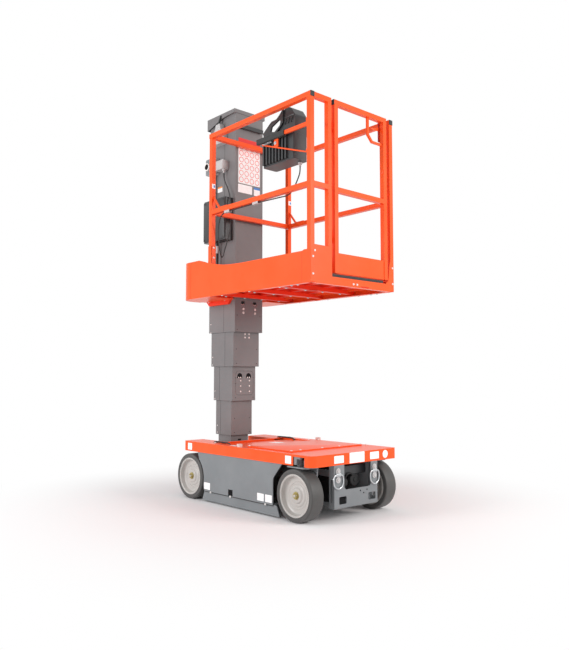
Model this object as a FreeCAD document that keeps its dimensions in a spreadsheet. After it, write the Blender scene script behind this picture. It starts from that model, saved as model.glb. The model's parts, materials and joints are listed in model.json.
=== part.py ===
"""Vertical mast lift: wheeled chassis, five-section telescoping mast, guarded platform.

Millimetres. +X is forward (the gate end), +Y is left, +Z is up.
The origin is on the floor, below the middle of the whole outline.
"""
import FreeCAD, Part
import math
import os
import Sketcher

doc = FreeCAD.newDocument("MastLift")
sheet = doc.addObject("Spreadsheet::Sheet", "Sizes")

# Each row: name, size in millimetres (angles in degrees), meaning
SIZES = [
    # Running gear
    ("overall_width", 760, "width over the tyres"),
    ("wheel_radius", 158, "tyre outer radius"),
    ("tyre_width", 97, "tyre width"),
    ("rim_radius", 128, "rim seat radius under the tyre"),
    ("shoulder", 9, "slant of the tyre's shoulder"),
    ("front_axle", 545, "front axle and kingpin place along X"),
    ("rear_axle", -552, "rear axle place along X"),
    ("spindle_radius", 24, "wheel spindle radius"),
    ("hub_radius", 42, "wheel hub radius"),
    ("dish_depth", 30, "depth of the wheel dish below the outer face"),
    ("hub_inset", 18, "depth of the hub's face below the outer face"),
    ("fit_gap", 0.3, "running clearance at pins, hubs and slide pads"),
    ("swing_gap", 5, "clearance between a moving piece and its neighbours"),
    # Steering
    ("yoke_plate", 8, "thickness of the yoke's top plate"),
    ("yoke_length", 200, "length of the yoke's top plate"),
    ("yoke_leg", 12, "thickness of the yoke's inner leg"),
    ("motor_radius", 62, "hub motor radius"),
    ("motor_length", 46, "hub motor length"),
    ("kingpin_radius", 13, "kingpin radius"),
    ("kingpin_housing", 20, "kingpin housing outer radius"),
    ("steer_arm", 55, "kingpin to tie rod pin"),
    ("tie_pin_radius", 8, "tie rod pin radius"),
    ("tie_eye_radius", 14, "tie rod eye outer radius"),
    ("tie_rod_height", 356, "height of the tie rod's axis"),
    ("tie_rod_radius", 8, "tie rod radius"),
    ("tie_eye_height", 24, "height of the tie rod's eyes"),
    # Deck
    ("deck_front", 700, "deck front edge"),
    ("deck_rear", -628, "deck rear edge"),
    ("deck_bottom", 335, "bottom of the deck apron"),
    ("deck_top", 403, "deck top face"),
    ("deck_sheet", 5, "deck sheet thickness"),
    ("deck_front_corner", 45, "right front corner radius of the deck"),
    ("deck_far_corner", 15, "left front corner radius of the deck"),
    ("deck_rear_corner", 22, "rear corner radius of the deck"),
    ("notch_rear", 536, "rear edge of the kingpin notch in the apron"),
    ("notch_front", 636, "front edge of the kingpin notch in the apron"),
    ("stub_length", 61, "rear stub axle between the mast well and the tyre"),
    ("well_front", -338, "front edge of the mast well"),
    ("cover_front", 458, "front edge of the deck cover"),
    ("cover_rear", -326, "rear edge of the deck cover"),
    ("cover_margin", 72, "deck edge to the side of the cover"),
    ("cover_gap", 2, "gap round the deck cover"),
    ("cover_drop", 2, "step from the deck down to the cover"),
    ("cover_fall", 12, "further fall of the cover at its rear edge"),
    ("cover_crease", 36, "place where the cover starts to fall"),
    ("rest_pad_height", 20, "height of the platform rest pads"),
    # Chassis
    ("frame_plate", 8, "thickness of the chassis plates"),
    ("pan_bottom", 75, "bottom of the chassis floor pan"),
    ("spine_gap", 45, "hub motor to the chassis spine, for steering"),
    ("front_lip", 35, "front plate beyond the spine on each side"),
    ("front_low", 77, "bottom of the front plate"),
    ("window_low", 184, "bottom of the front plate's open window"),
    ("window_margin_right", 87, "right side of the front plate to the window"),
    ("window_margin_left", 60, "left side of the front plate to the window"),
    ("front_box_depth", 44, "depth of the front box behind its plate"),
    ("skirt_front_top", 440, "front end of a skirt at the deck"),
    ("skirt_front_low", 347, "front end of a skirt at the pan"),
    ("skirt_bend", 240, "height where a skirt's front edge turns to the deck"),
    ("notch_start", -108, "rear end of the notch in a skirt's bottom edge"),
    ("notch_length", 50, "length of the notch in a skirt's bottom edge"),
    ("notch_height", 43, "height of the notch in a skirt's bottom edge"),
    ("skirt_rear_low", -380, "rear end of a skirt at the pan"),
    ("skirt_rear_top", -464, "rear end of a skirt at the deck"),
    ("skirt_sheet", 6, "skirt sheet thickness"),
    ("guard_bottom", 10, "bottom of a pothole guard"),
    ("guard_top", 140, "hidden top of a pothole guard"),
    ("guard_front", 399, "front tip of a pothole guard"),
    ("guard_rear", -414, "rear tip of a pothole guard"),
    ("guard_slant", 25, "slant of a pothole guard's end"),
    ("plate_hole_side", 66, "middle of the row of holes in the front plate"),
    ("plate_hole_spacing", 62, "spacing of the two outer holes in the front plate"),
    ("plate_hole_height", 165, "height of the two outer holes in the front plate"),
    ("plate_hole_drop", 17, "drop of the middle hole below the outer two"),
    ("plate_hole_radius", 5.5, "radius of the holes in the front plate"),
    ("ring_wire", 5, "radius of the tie-down ring's wire"),
    ("ring_radius", 41, "middle radius of a tie-down ring"),
    ("ring_spacing", 328, "distance between the two tie-down rings"),
    ("ring_height", 236, "height of the middle of a tie-down ring"),
    ("lug_width", 28, "width of a tie-down ring's lug"),
    ("lug_height", 82, "height of a tie-down ring's lug"),
    ("lug_sheet", 4, "thickness of a tie-down ring's lug"),
    # Mast
    ("mast_wall", 5, "wall of a mast section"),
    ("mast_length", 1612, "length of an inner mast section"),
    ("mast_pad_height", 110, "height of the slide pads"),
    ("mast_raise", 252, "lift of each mast section above fully lowered"),
    ("mast_lowered", 182, "bottom of each section when fully lowered"),
    ("cap_half_width", 146, "half width of the mast cap"),
    ("cap_front", -356, "front edge of the mast cap"),
    ("cap_rear", -699, "rear edge of the mast cap"),
    ("cap_top", 2851, "top of the mast"),
    ("cap_plate", 27, "front depth of the mast cap"),
    ("cap_skirt", 88, "rear depth of the mast cap's skirt"),
    ("cap_sheet", 4, "sheet of the mast cap"),
    ("cap_bar_drop", 143, "top of the mast to the bottom of the bar below the cap"),
    # Platform
    ("tube", 32, "guard rail tube, square"),
    ("platform_width", 766, "width of the platform"),
    ("platform_front", 698, "front face of the front posts"),
    ("platform_rear", -342, "rear face of the rear posts"),
    ("panel_rear", -708, "rear end of the toe panels"),
    ("panel_sheet", 4, "toe panel thickness"),
    ("panel_corner", 123, "rear corner radius of the toe panels"),
    ("platform_bottom", 1424, "bottom of the toe panels"),
    ("floor_top", 1490, "platform floor top"),
    ("floor_sheet", 5, "platform floor thickness"),
    ("panel_top", 1620, "top of the toe panels along the side"),
    ("panel_top_rear", 1694, "top of the toe panels at the mast"),
    ("top_rail", 2589, "top of the top rail"),
    ("mid_rail", 2040, "top of the mid rail"),
    ("hinge_inset", 181, "right side of the platform to the hinge post's gate side"),
    ("hinge_slot", 27, "hinge post to gate"),
    ("latch_slot", 61, "gate to the left side of the platform"),
    ("sill_height", 49, "height of the front sill"),
    ("rubber_height", 20, "height of the sill's rubber strip"),
    ("gate_lift", 6, "rubber strip to gate"),
    ("gate_toe", 126, "height of the gate's toe plate"),
    ("gate_mid_drop", 3, "gate's mid rail below the guard's mid rail"),
    ("hinge_pin", 4, "gate hinge pin radius"),
    ("hinge_barrel", 8, "gate hinge barrel radius"),
    ("hinge_low", 1690, "bottom of the lower hinge"),
    ("hinge_high", 2375, "bottom of the upper hinge"),
    ("hinge_share", 30, "fixed share of a hinge's height"),
    ("hinge_height", 80, "height of a hinge"),
    ("plug", 4, "thickness of a tube end plug"),
    # Mast sections from the inside out
    ("base_half", 80, "half width of the base column"),
    ("base_front", -465, "front face of the base column"),
    ("base_rear", -618, "rear face of the base column"),
    ("a_half", 96, "half width of mast section a"),
    ("a_front", -441, "front face of mast section a"),
    ("a_rear", -630, "rear face of mast section a"),
    ("b_half", 108, "half width of mast section b"),
    ("b_front", -415, "front face of mast section b"),
    ("b_rear", -644, "rear face of mast section b"),
    ("c_half", 120, "half width of mast section c"),
    ("c_front", -389, "front face of mast section c"),
    ("c_rear", -662, "rear face of mast section c"),
    ("d_half", 130, "half width of mast section d"),
    ("d_front", -361, "front face of mast section d"),
    ("d_rear", -680, "rear face of mast section d"),
    # Boxes on the mast
    ("relay_front", -396, "front face of the relay box"),
    ("relay_length", 270, "length of the relay box"),
    ("relay_depth", 70, "depth of the relay box beside the mast"),
    ("relay_bottom", 1868, "bottom of the relay box"),
    ("relay_height", 317, "height of the relay box"),
    ("switch_depth", 48, "depth of the switch boxes beside the mast"),
    ("lower_switch", 2410, "bottom of the lower switch box"),
    ("upper_switch", 2614, "bottom of the upper switch box"),
    # Control box and its bracket
    ("control_rear", 170, "rear face of the control box"),
    ("control_front", 472, "front face of the control box"),
    ("control_inner", 192, "right side of the platform to the box's inner face"),
    ("control_outer", 71, "right side of the platform to the box's outer wall"),
    ("control_bottom", 2240, "bottom of the control box"),
    ("control_waist", 2410, "top of the ribbed part of the control box"),
    ("control_crest", 2590, "top of the control box"),
    ("fin_depth", 13, "depth of the cooling fins"),
    ("fin_width", 14, "width of a cooling fin"),
    ("fin_pitch", 31, "spacing of the cooling fins"),
    ("bar_low", 2400, "bottom of the bracket's flat bar"),
    ("bar_height", 25, "height of the bracket's flat bar"),
    ("bar_rear", 149, "rear end of the bracket's flat bar"),
    ("sleeve_front", 418, "front end of the grip sleeve"),
    ("sleeve_wall", 6, "wall of the grip sleeve"),
    # Control cable
    ("cable_radius", 4, "radius of the control cable"),
    ("gland_radius", 14, "radius of a cable gland's nut"),
    ("gland_tip", 7, "radius of a cable gland's tip"),
]

for row, (alias, value, meaning) in enumerate(SIZES, start=1):
    sheet.set(f"A{row}", meaning)
    sheet.set(f"B{row}", str(value))
    sheet.setAlias(f"B{row}", alias)
doc.recompute()

LEFT, RIGHT = 1, -1
SIDES = (("left", LEFT), ("right", RIGHT))
pieces = []


class Size:
    """A size from the sheet, together with the formula that binds it."""

    def __init__(self, value, formula):
        self.value = float(value)
        self.formula = formula

    def __add__(self, other):
        other = as_size(other)
        return Size(self.value + other.value, f"({self.formula} + {other.formula})")

    def __sub__(self, other):
        other = as_size(other)
        return Size(self.value - other.value, f"({self.formula} - {other.formula})")

    def __mul__(self, other):
        other = as_size(other)
        return Size(self.value * other.value, f"({self.formula} * {other.formula})")

    def __truediv__(self, other):
        other = as_size(other)
        return Size(self.value / other.value, f"({self.formula} / {other.formula})")

    def __neg__(self):
        return Size(-self.value, f"(0 - {self.formula})")

    def __radd__(self, other):
        return as_size(other) + self

    def __rsub__(self, other):
        return as_size(other) - self

    def __rmul__(self, other):
        return as_size(other) * self


def as_size(number):
    """Turn a plain number into a Size."""
    if isinstance(number, Size):
        return number
    return Size(number, f"({float(number)!r})")


class Sheet:
    """The sheet's sizes by name."""

    def __getattr__(self, name):
        return Size(getattr(sheet, name), "Sizes." + name)


d = Sheet()


def ordered(pair):
    """Return two sizes with the smaller first."""
    first, second = as_size(pair[0]), as_size(pair[1])
    return (first, second) if first.value <= second.value else (second, first)


def bind(target, prop, size):
    """Bind a property to a size's formula."""
    target.setExpression(prop, as_size(size).formula)


def bind_base(target, x, y, z):
    """Bind the position of an object."""
    for letter, size in zip("xyz", (x, y, z)):
        bind(target, "Placement.Base." + letter, size)


def block(name, x, y, z):
    """A box between two places on each axis."""
    x, y, z = ordered(x), ordered(y), ordered(z)
    box = doc.addObject("Part::Box", name)
    bind(box, "Length", x[1] - x[0])
    bind(box, "Width", y[1] - y[0])
    bind(box, "Height", z[1] - z[0])
    bind_base(box, x[0], y[0], z[0])
    return box


TURNS = {
    "X": FreeCAD.Rotation(FreeCAD.Vector(0, 1, 0), 90),
    "Y": FreeCAD.Rotation(FreeCAD.Vector(1, 0, 0), -90),
    "Z": FreeCAD.Rotation(),
}


def round_bar(name, axis, span, across, radius):
    """A cylinder along an axis; across gives the other two coordinates in X, Y, Z order."""
    span = ordered(span)
    bar = doc.addObject("Part::Cylinder", name)
    bar.Placement = FreeCAD.Placement(FreeCAD.Vector(), TURNS[axis])
    bind(bar, "Radius", radius)
    bind(bar, "Height", span[1] - span[0])
    if axis == "X":
        bind_base(bar, span[0], across[0], across[1])
    elif axis == "Y":
        bind_base(bar, across[0], span[0], across[1])
    else:
        bind_base(bar, across[0], across[1], span[0])
    return bar


def fuse(name, shapes):
    """Join solids into one."""
    joined = doc.addObject("Part::MultiFuse", name)
    joined.Shapes = shapes
    joined.Refine = True
    return joined


def group(name, shapes):
    """Keep solids that do not touch in one piece."""
    together = doc.addObject("Part::Compound", name)
    together.Links = shapes
    return together


def cut(name, base, tools):
    """Take solids out of another."""
    result = doc.addObject("Part::Cut", name)
    result.Base = base
    result.Tool = tools[0] if len(tools) == 1 else fuse(name + "_tool", tools)
    result.Refine = True
    return result


def piece(name, shape):
    """Register a finished sub-part."""
    shape.Label = name
    pieces.append((name, shape))
    return shape


PLANES = {"XY": "XY_Plane", "XZ": "XZ_Plane", "YZ": "YZ_Plane"}


def new_sketch(body, plane, offset):
    """A sketch on one of the body's own planes, moved along its normal."""
    sketch = body.newObject("Sketcher::SketchObject", body.Name + "_sketch")
    roots = [item for item in body.Origin.OriginFeatures if item.Role == PLANES[plane]]
    sketch.AttachmentSupport = [(roots[0], "")]
    sketch.MapMode = "FlatFace"
    bind(sketch, "AttachmentOffset.Base.z", offset)
    return sketch


def draw_loop(sketch, corners):
    """Draw a closed outline of straight lines, each corner held by the sheet."""
    first = sketch.GeometryCount
    spots = [FreeCAD.Vector(as_size(c[0]).value, as_size(c[1]).value, 0) for c in corners]
    count = len(spots)
    for index in range(count):
        line = Part.LineSegment(spots[index], spots[(index + 1) % count])
        sketch.addGeometry(line, False)
    for index in range(count):
        after = first + (index + 1) % count
        sketch.addConstraint(Sketcher.Constraint("Coincident", first + index, 2, after, 1))
    for index, corner in enumerate(corners):
        for kind, size in (("DistanceX", corner[0]), ("DistanceY", corner[1])):
            size = as_size(size)
            rule = Sketcher.Constraint(kind, -1, 1, first + index, 1, size.value)
            number = sketch.addConstraint(rule)
            sketch.setExpression(f"Constraints[{number}]", size.formula)


def round_corners(body, feature, corners, axis_index):
    """Fillet the edges that stand at those corners that have a third value, their radius."""
    doc.recompute()
    plane = [index for index in range(3) if index != axis_index]
    groups = {}
    for corner in corners:
        if len(corner) > 2:
            radius = as_size(corner[2])
            groups.setdefault(radius.formula, (radius, []))[1].append(corner)
    for radius, marked in groups.values():
        names = []
        for number, edge in enumerate(feature.Shape.Edges, start=1):
            ends = [vertex.Point for vertex in edge.Vertexes]
            if len(ends) != 2:
                continue
            for corner in marked:
                spot = (as_size(corner[0]).value, as_size(corner[1]).value)
                if all(abs(end[plane[0]] - spot[0]) + abs(end[plane[1]] - spot[1]) < 0.01
                       for end in ends):
                    names.append(f"Edge{number}")
        rounded = body.newObject("PartDesign::Fillet", feature.Name + "_round")
        rounded.Base = (feature, names)
        bind(rounded, "Radius", radius)
        body.Tip = rounded
        doc.recompute()
        feature = rounded
    return feature


def prism(name, plane, span, outline, holes=()):
    """A flat profile given a thickness along the axis across its plane."""
    body = doc.addObject("PartDesign::Body", name)
    span = ordered(span)
    offset = -span[1] if plane == "XZ" else span[0]
    sketch = new_sketch(body, plane, offset)
    draw_loop(sketch, outline)
    for hole in holes:
        draw_loop(sketch, hole)
    pad = body.newObject("PartDesign::Pad", name + "_pad")
    pad.Profile = sketch
    bind(pad, "Length", span[1] - span[0])
    body.Tip = pad
    axis_index = {"XY": 2, "XZ": 1, "YZ": 0}[plane]
    marked = list(outline) + [corner for hole in holes for corner in hole]
    if any(len(corner) > 2 for corner in marked):
        round_corners(body, pad, marked, axis_index)
    return body


def turned(name, outline, at, turn=FreeCAD.Rotation()):
    """A ring turned about a line along Y; outline holds (place along Y, radius) corners."""
    body = doc.addObject("PartDesign::Body", name)
    sketch = new_sketch(body, "YZ", 0)
    draw_loop(sketch, outline)
    spin = body.newObject("PartDesign::Revolution", name + "_turn")
    spin.Profile = sketch
    spin.ReferenceAxis = (sketch, ["H_Axis"])
    spin.Angle = 360
    body.Tip = spin
    body.Placement = FreeCAD.Placement(FreeCAD.Vector(), turn)
    bind_base(body, *at)
    return body


def rectangle(a, b, radius=None):
    """Corners of a rectangle, with one corner radius if it is given."""
    a, b = ordered(a), ordered(b)
    spots = [(a[0], b[0]), (a[1], b[0]), (a[1], b[1]), (a[0], b[1])]
    return spots if radius is None else [spot + (radius,) for spot in spots]


half_track = (d.overall_width - d.tyre_width) / 2
tyre_inner = d.overall_width / 2 - d.tyre_width
deck_half = d.overall_width / 2
cover_half = deck_half - d.cover_margin
well_half = tyre_inner - d.stub_length
leg_outer = tyre_inner - d.swing_gap - 3
leg_inner = leg_outer - d.yoke_leg
motor_cap = 12
spine_half = leg_inner - d.motor_length - motor_cap - d.spine_gap
front_half = spine_half + d.front_lip
platform_half = d.platform_width / 2
sill_top = d.platform_bottom + d.sill_height
rubber_top = sill_top + d.rubber_height
gate_bottom = rubber_top + d.gate_lift
post_top = d.top_rail - d.tube
hinge_post = d.hinge_inset - platform_half
gate_near = hinge_post + d.hinge_slot
gate_far = platform_half - d.latch_slot
deck_under = d.deck_top - d.deck_sheet
apron_inner = deck_half - d.deck_sheet
pan_top = d.pan_bottom + d.frame_plate


def build_wheel(end, side_name, side, axle_x):
    """One wheel: a smooth tyre on a dished steel rim, turned about the axle."""
    half = d.tyre_width / 2
    at = (axle_x, side * half_track, d.wheel_radius)
    tread = half - d.shoulder
    tyre = turned(
        f"{end}_tyre_{side_name}",
        [(-half, d.rim_radius), (half, d.rim_radius), (tread, d.wheel_radius),
         (-tread, d.wheel_radius)],
        at,
    )
    piece(f"{end}_tyre_{side_name}", tyre)
    bore = d.spindle_radius + d.fit_gap
    seat = d.rim_radius
    lip = seat - 8
    face = half - d.dish_depth
    hub_face = half - d.hub_inset
    hub_back = d.fit_gap + 4 - half
    corners = [
        (-half, seat), (half, seat), (half, lip), (face, lip - 30), (face, d.hub_radius + 12),
        (hub_face, d.hub_radius), (hub_face, bore), (hub_back, bore), (hub_back, d.hub_radius),
        (face - 9, d.hub_radius + 8), (face - 9, lip - 22), (-half, lip),
    ]
    outline = [(side * along, radius) for along, radius in corners]
    rim = turned(f"{end}_rim_{side_name}", outline, at)
    piece(f"{end}_rim_{side_name}", rim)


def build_knuckle(side_name, side):
    """The steered yoke: top plate, inner leg, spindle, hub motor, kingpin and tie rod pin."""
    plate_top = d.wheel_radius * 2 + d.swing_gap + d.yoke_plate
    plate_low = plate_top - d.yoke_plate
    x = d.front_axle
    name = f"knuckle_{side_name}"
    reach = d.yoke_length / 2
    outer = half_track + d.tyre_width / 2 - 8
    top = prism(
        name + "_top", "XY", (plate_low, plate_top),
        [(x - reach, side * leg_inner, 18), (x + reach, side * leg_inner, 18),
         (x + reach, side * (outer - 30), 18), (x + reach - 30, side * outer, 18),
         (x - reach + 30, side * outer, 18), (x - reach, side * (outer - 30), 18)],
    )
    leg = prism(
        name + "_leg", "XZ", (side * leg_inner, side * leg_outer),
        [(x - d.motor_radius, d.wheel_radius - d.motor_radius, 40),
         (x + d.motor_radius, d.wheel_radius - d.motor_radius, 40),
         (x + reach - 10, plate_low), (x - reach + 10, plate_low)],
    )
    motor = round_bar(
        name + "_motor", "Y", (side * leg_inner, side * (leg_inner - d.motor_length)),
        (x, d.wheel_radius), d.motor_radius,
    )
    motor_end = round_bar(
        name + "_motor_end", "Y",
        (side * (leg_inner - d.motor_length), side * (leg_inner - d.motor_length - motor_cap)),
        (x, d.wheel_radius), d.motor_radius * 0.7,
    )
    spindle = round_bar(
        name + "_spindle", "Y", (side * leg_outer, side * (half_track + d.tyre_width / 2 - 20)),
        (x, d.wheel_radius), d.spindle_radius,
    )
    kingpin = round_bar(
        name + "_kingpin", "Z", (plate_top, deck_under - 12),
        (x, side * half_track), d.kingpin_radius,
    )
    pin_top = d.tie_rod_height + d.tie_eye_height / 2 + 5
    collar_top = d.tie_rod_height - d.tie_eye_height / 2 - d.fit_gap
    tie_collar = round_bar(
        name + "_tie_collar", "Z", (plate_top, collar_top),
        (x + d.steer_arm, side * half_track), d.tie_pin_radius + 5,
    )
    tie_pin = round_bar(
        name + "_tie_pin", "Z", (collar_top, pin_top),
        (x + d.steer_arm, side * half_track), d.tie_pin_radius,
    )
    piece(name, fuse(name, [top, leg, motor, motor_end, spindle, kingpin, tie_collar, tie_pin]))


def build_tie_rod():
    """The rod that keeps both steered wheels parallel."""
    x = d.front_axle + d.steer_arm
    span = (-half_track, half_track)
    rod = round_bar("tie_rod_bar", "Y", span, (x, d.tie_rod_height), d.tie_rod_radius)
    low, high = d.tie_rod_height - d.tie_eye_height / 2, d.tie_rod_height + d.tie_eye_height / 2
    eyes = [round_bar("tie_rod_eye", "Z", (low, high), (x, side * half_track), d.tie_eye_radius)
            for _, side in SIDES]
    bores = [round_bar("tie_rod_bore", "Z", (low - 1, high + 1), (x, side * half_track),
                       d.tie_pin_radius + d.fit_gap) for _, side in SIDES]
    piece("tie_rod", cut("tie_rod", fuse("tie_rod_whole", [rod] + eyes), bores))


def build_deck():
    """The orange deck: a pressed pan with side notches over the kingpins and a mast well."""
    sheet_ = d.deck_sheet
    well = well_half
    outer = [
        (d.deck_rear, -deck_half, d.deck_rear_corner),
        (d.deck_front, -deck_half, d.deck_front_corner),
        (d.deck_front, deck_half, d.deck_far_corner),
        (d.deck_rear, deck_half, d.deck_rear_corner),
        (d.deck_rear, well), (d.well_front, well), (d.well_front, -well), (d.deck_rear, -well),
    ]
    inner = [
        (d.deck_rear + sheet_, -deck_half + sheet_, d.deck_rear_corner - sheet_),
        (d.deck_front - sheet_, -deck_half + sheet_, d.deck_front_corner - sheet_),
        (d.deck_front - sheet_, deck_half - sheet_, d.deck_far_corner - sheet_),
        (d.deck_rear + sheet_, deck_half - sheet_, d.deck_rear_corner - sheet_),
        (d.deck_rear + sheet_, well + sheet_), (d.well_front + sheet_, well + sheet_),
        (d.well_front + sheet_, -well - sheet_), (d.deck_rear + sheet_, -well - sheet_),
    ]
    pan = prism("deck_pan", "XY", (d.deck_bottom, d.deck_top), outer)
    hollow = prism("deck_hollow", "XY", (d.deck_bottom - 1, deck_under), inner)
    notches = [block("deck_notch", (d.notch_rear, d.notch_front),
                     (side * (apron_inner - 1), side * (deck_half + 1)),
                     (d.deck_bottom - 1, deck_under - 8)) for _, side in SIDES]
    opening = block("deck_opening", (d.cover_rear, d.cover_front),
                    (-cover_half, cover_half), (deck_under - 1, d.deck_top + 1))
    piece("deck", cut("deck", pan, [hollow, opening] + notches))

    gap = d.cover_gap
    top = d.deck_top - d.cover_drop
    rear_top = top - d.cover_fall
    cover = prism(
        "deck_cover", "XZ", (gap - cover_half, cover_half - gap),
        [(d.cover_rear + gap, rear_top), (d.cover_crease, top), (d.cover_front - gap, top),
         (d.cover_front - gap, top - sheet_), (d.cover_crease, top - sheet_),
         (d.cover_rear + gap, rear_top - sheet_)],
    )
    piece("deck_cover", cover)
    pads = [block("rest_pad", (-16, 11), (side * (deck_half - 32), side * (deck_half - 6)),
                  (d.deck_top, d.deck_top + d.rest_pad_height)) for _, side in SIDES]
    piece("deck_rest_pads", group("deck_rest_pads", pads))


def build_chassis():
    """The grey chassis: floor pan, mast well, spine, front box, skirts and guards."""
    plate = d.frame_plate
    well = well_half
    spine = spine_half
    pan_half = apron_inner - d.skirt_sheet - 11 - d.fit_gap
    pan = block("pan_middle", (d.skirt_rear_low, d.skirt_front_low),
                (-pan_half, pan_half), (d.pan_bottom, pan_top))
    pan_rear = block("pan_rear", (d.deck_rear, d.skirt_rear_low), (-well, well),
                     (d.pan_bottom, pan_top))
    pan_front = block("pan_front", (d.skirt_front_low, d.deck_front - d.front_box_depth),
                      (-spine, spine), (d.pan_bottom, pan_top))
    piece("floor_pan", fuse("floor_pan", [pan, pan_rear, pan_front]))

    bulkhead_rear = d.well_front + d.deck_sheet
    cheeks = [block("well_cheek", (d.deck_rear, d.well_front),
                    (side * (well - plate), side * well), (pan_top, deck_under))
              for _, side in SIDES]
    cheeks += [block("well_corner", (d.well_front - plate, bulkhead_rear),
                     (side * (well - plate), side * well), (pan_top, d.deck_bottom))
               for _, side in SIDES]
    bulkhead = block("well_bulkhead", (bulkhead_rear, bulkhead_rear + plate),
                     (-well, well), (pan_top, deck_under - d.cover_fall - d.cover_drop))
    beams = [block("spine_beam", (bulkhead_rear + plate, d.front_axle - 40),
                   (side * (spine - plate), side * spine), (pan_top, deck_under - d.cover_fall
                                                             - d.cover_drop))
             for _, side in SIDES]
    noses = [block("spine_nose", (d.front_axle - 40, d.deck_front - d.front_box_depth),
                   (side * (spine - plate), side * spine), (pan_top, d.deck_bottom))
             for _, side in SIDES]
    piece("chassis_frame", fuse("chassis_frame", cheeks + [bulkhead] + beams + noses))

    carrier_low = d.wheel_radius * 2 + d.swing_gap + d.yoke_plate + d.fit_gap
    carrier = [block("kingpin_beam", (d.front_axle - 38, d.front_axle + 4),
                     (-half_track, half_track), (carrier_low + 12, deck_under))]
    for _, side in SIDES:
        carrier.append(round_bar("kingpin_housing", "Z", (carrier_low, deck_under),
                                 (d.front_axle, side * half_track), d.kingpin_housing))
    bores = [round_bar("kingpin_bore", "Z", (carrier_low - 1, deck_under - 8),
                       (d.front_axle, side * half_track), d.kingpin_radius + d.fit_gap)
             for _, side in SIDES]
    slot = block("kingpin_beam_slot", (d.front_axle - 39, d.front_axle + 5),
                 (-spine, spine), (carrier_low, d.deck_top - 20))
    piece("kingpin_carrier", cut("kingpin_carrier", fuse("kingpin_carrier_whole", carrier),
                                 bores + [slot]))

    front = d.deck_front
    half = front_half
    low, top = d.front_low, d.deck_bottom
    near, far = d.window_margin_right - half, half - d.window_margin_left
    face = prism(
        "front_face", "YZ", (front - plate, front),
        [(-half, low), (half, low), (half, top), (far, top), (far, d.window_low, 24),
         (near, d.window_low, 24), (near, top), (-half, top)],
        [rectangle((42 - half, 107 - half), (100, 145), 8),
         rectangle((half - 86, half - 19), (100, 145), 8)],
    )
    spread = d.plate_hole_spacing / 2
    holes = [(d.plate_hole_side - spread, d.plate_hole_height),
             (d.plate_hole_side + spread, d.plate_hole_height),
             (d.plate_hole_side, d.plate_hole_height - d.plate_hole_drop)]
    face = cut("front_face_drilled", face, [
        round_bar("plate_hole", "X", (front - plate - 1, front + 1), place, d.plate_hole_radius)
        for place in holes])
    walls = []
    for _, side in SIDES:
        walls.append(prism(
            "front_wall", "XZ", (side * (half - plate), side * half),
            rectangle((front - d.front_box_depth, front - plate), (low, top)),
            [rectangle((front - 36, front - 17), (low + 35, low + 173), 8)],
        ))
        walls.append(block("front_post", (front - d.front_box_depth, front - plate),
                           (side * spine, side * half), (d.deck_bottom - 20, deck_under)))
        walls.append(block("front_return", (front - d.front_box_depth,
                                            front - d.front_box_depth + plate),
                           (side * (spine - plate), side * (half - plate)), (low, top)))
    piece("front_box", fuse("front_box", [face] + walls))

    rings = []
    for _, side in SIDES:
        y = side * d.ring_spacing / 2
        wire, middle_radius = d.ring_wire, d.ring_radius
        lug = block("ring_lug", (front, front + d.lug_sheet),
                    (y - d.lug_width / 2, y + d.lug_width / 2),
                    (d.ring_height, d.ring_height + d.lug_height))
        bar = round_bar("ring_bar", "Y", (y - d.lug_width / 2, y + d.lug_width / 2),
                        (front + wire, d.ring_height + middle_radius), wire)
        loop = turned(
            "ring_loop",
            [(-wire, middle_radius), (0, middle_radius + wire), (wire, middle_radius),
             (0, middle_radius - wire)],
            (front + wire, y, d.ring_height), FreeCAD.Rotation(FreeCAD.Vector(0, 0, 1), 90),
        )
        rings.append(fuse("ring", [lug, bar, loop]))
    piece("tie_down_rings", group("tie_down_rings", rings))

    for name, side in SIDES:
        y_out = apron_inner
        outline = [
            (d.skirt_rear_low, d.pan_bottom), (d.skirt_front_low, d.pan_bottom),
            (d.skirt_front_low, d.skirt_bend, 50), (d.skirt_front_top, d.deck_bottom + 10),
            (d.skirt_rear_top, d.deck_bottom + 10),
        ]
        sheet_piece = prism(f"skirt_sheet_{name}", "XZ",
                            (side * (y_out - d.skirt_sheet), side * y_out), outline)
        arch = round_bar(f"skirt_arch_{name}", "Y", (side * (y_out - 20), side * (y_out + 20)),
                         (d.rear_axle, d.wheel_radius), d.wheel_radius + d.swing_gap + 3)
        catch = block(f"skirt_notch_{name}", (d.notch_start, d.notch_start + d.notch_length),
                      (side * (y_out - 20), side * (y_out + 20)),
                      (d.pan_bottom - 1, d.pan_bottom + d.notch_height))
        piece(f"skirt_{name}", cut(f"skirt_{name}", sheet_piece, [arch, catch]))

        low = d.guard_bottom
        knee = d.pan_bottom - 2
        guard = prism(
            f"pothole_guard_{name}", "XZ",
            (side * (y_out - d.skirt_sheet - 11), side * (y_out - d.skirt_sheet - 3)),
            [(d.guard_rear, low), (d.guard_front, low), (d.guard_front - d.guard_slant, knee),
             (d.skirt_front_low - 15, knee + 10), (d.skirt_front_low - 15, d.guard_top),
             (d.skirt_rear_low + 15, d.guard_top), (d.skirt_rear_low + 15, knee + 10),
             (d.guard_rear + d.guard_slant, knee)],
        )
        piece(f"pothole_guard_{name}", guard)

    power = block("power_block", (d.well_front + plate + 20, d.skirt_front_low - 10),
                  (-(spine - plate - 4), spine - plate - 4), (pan_top, 372))
    piece("power_block", power)

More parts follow.
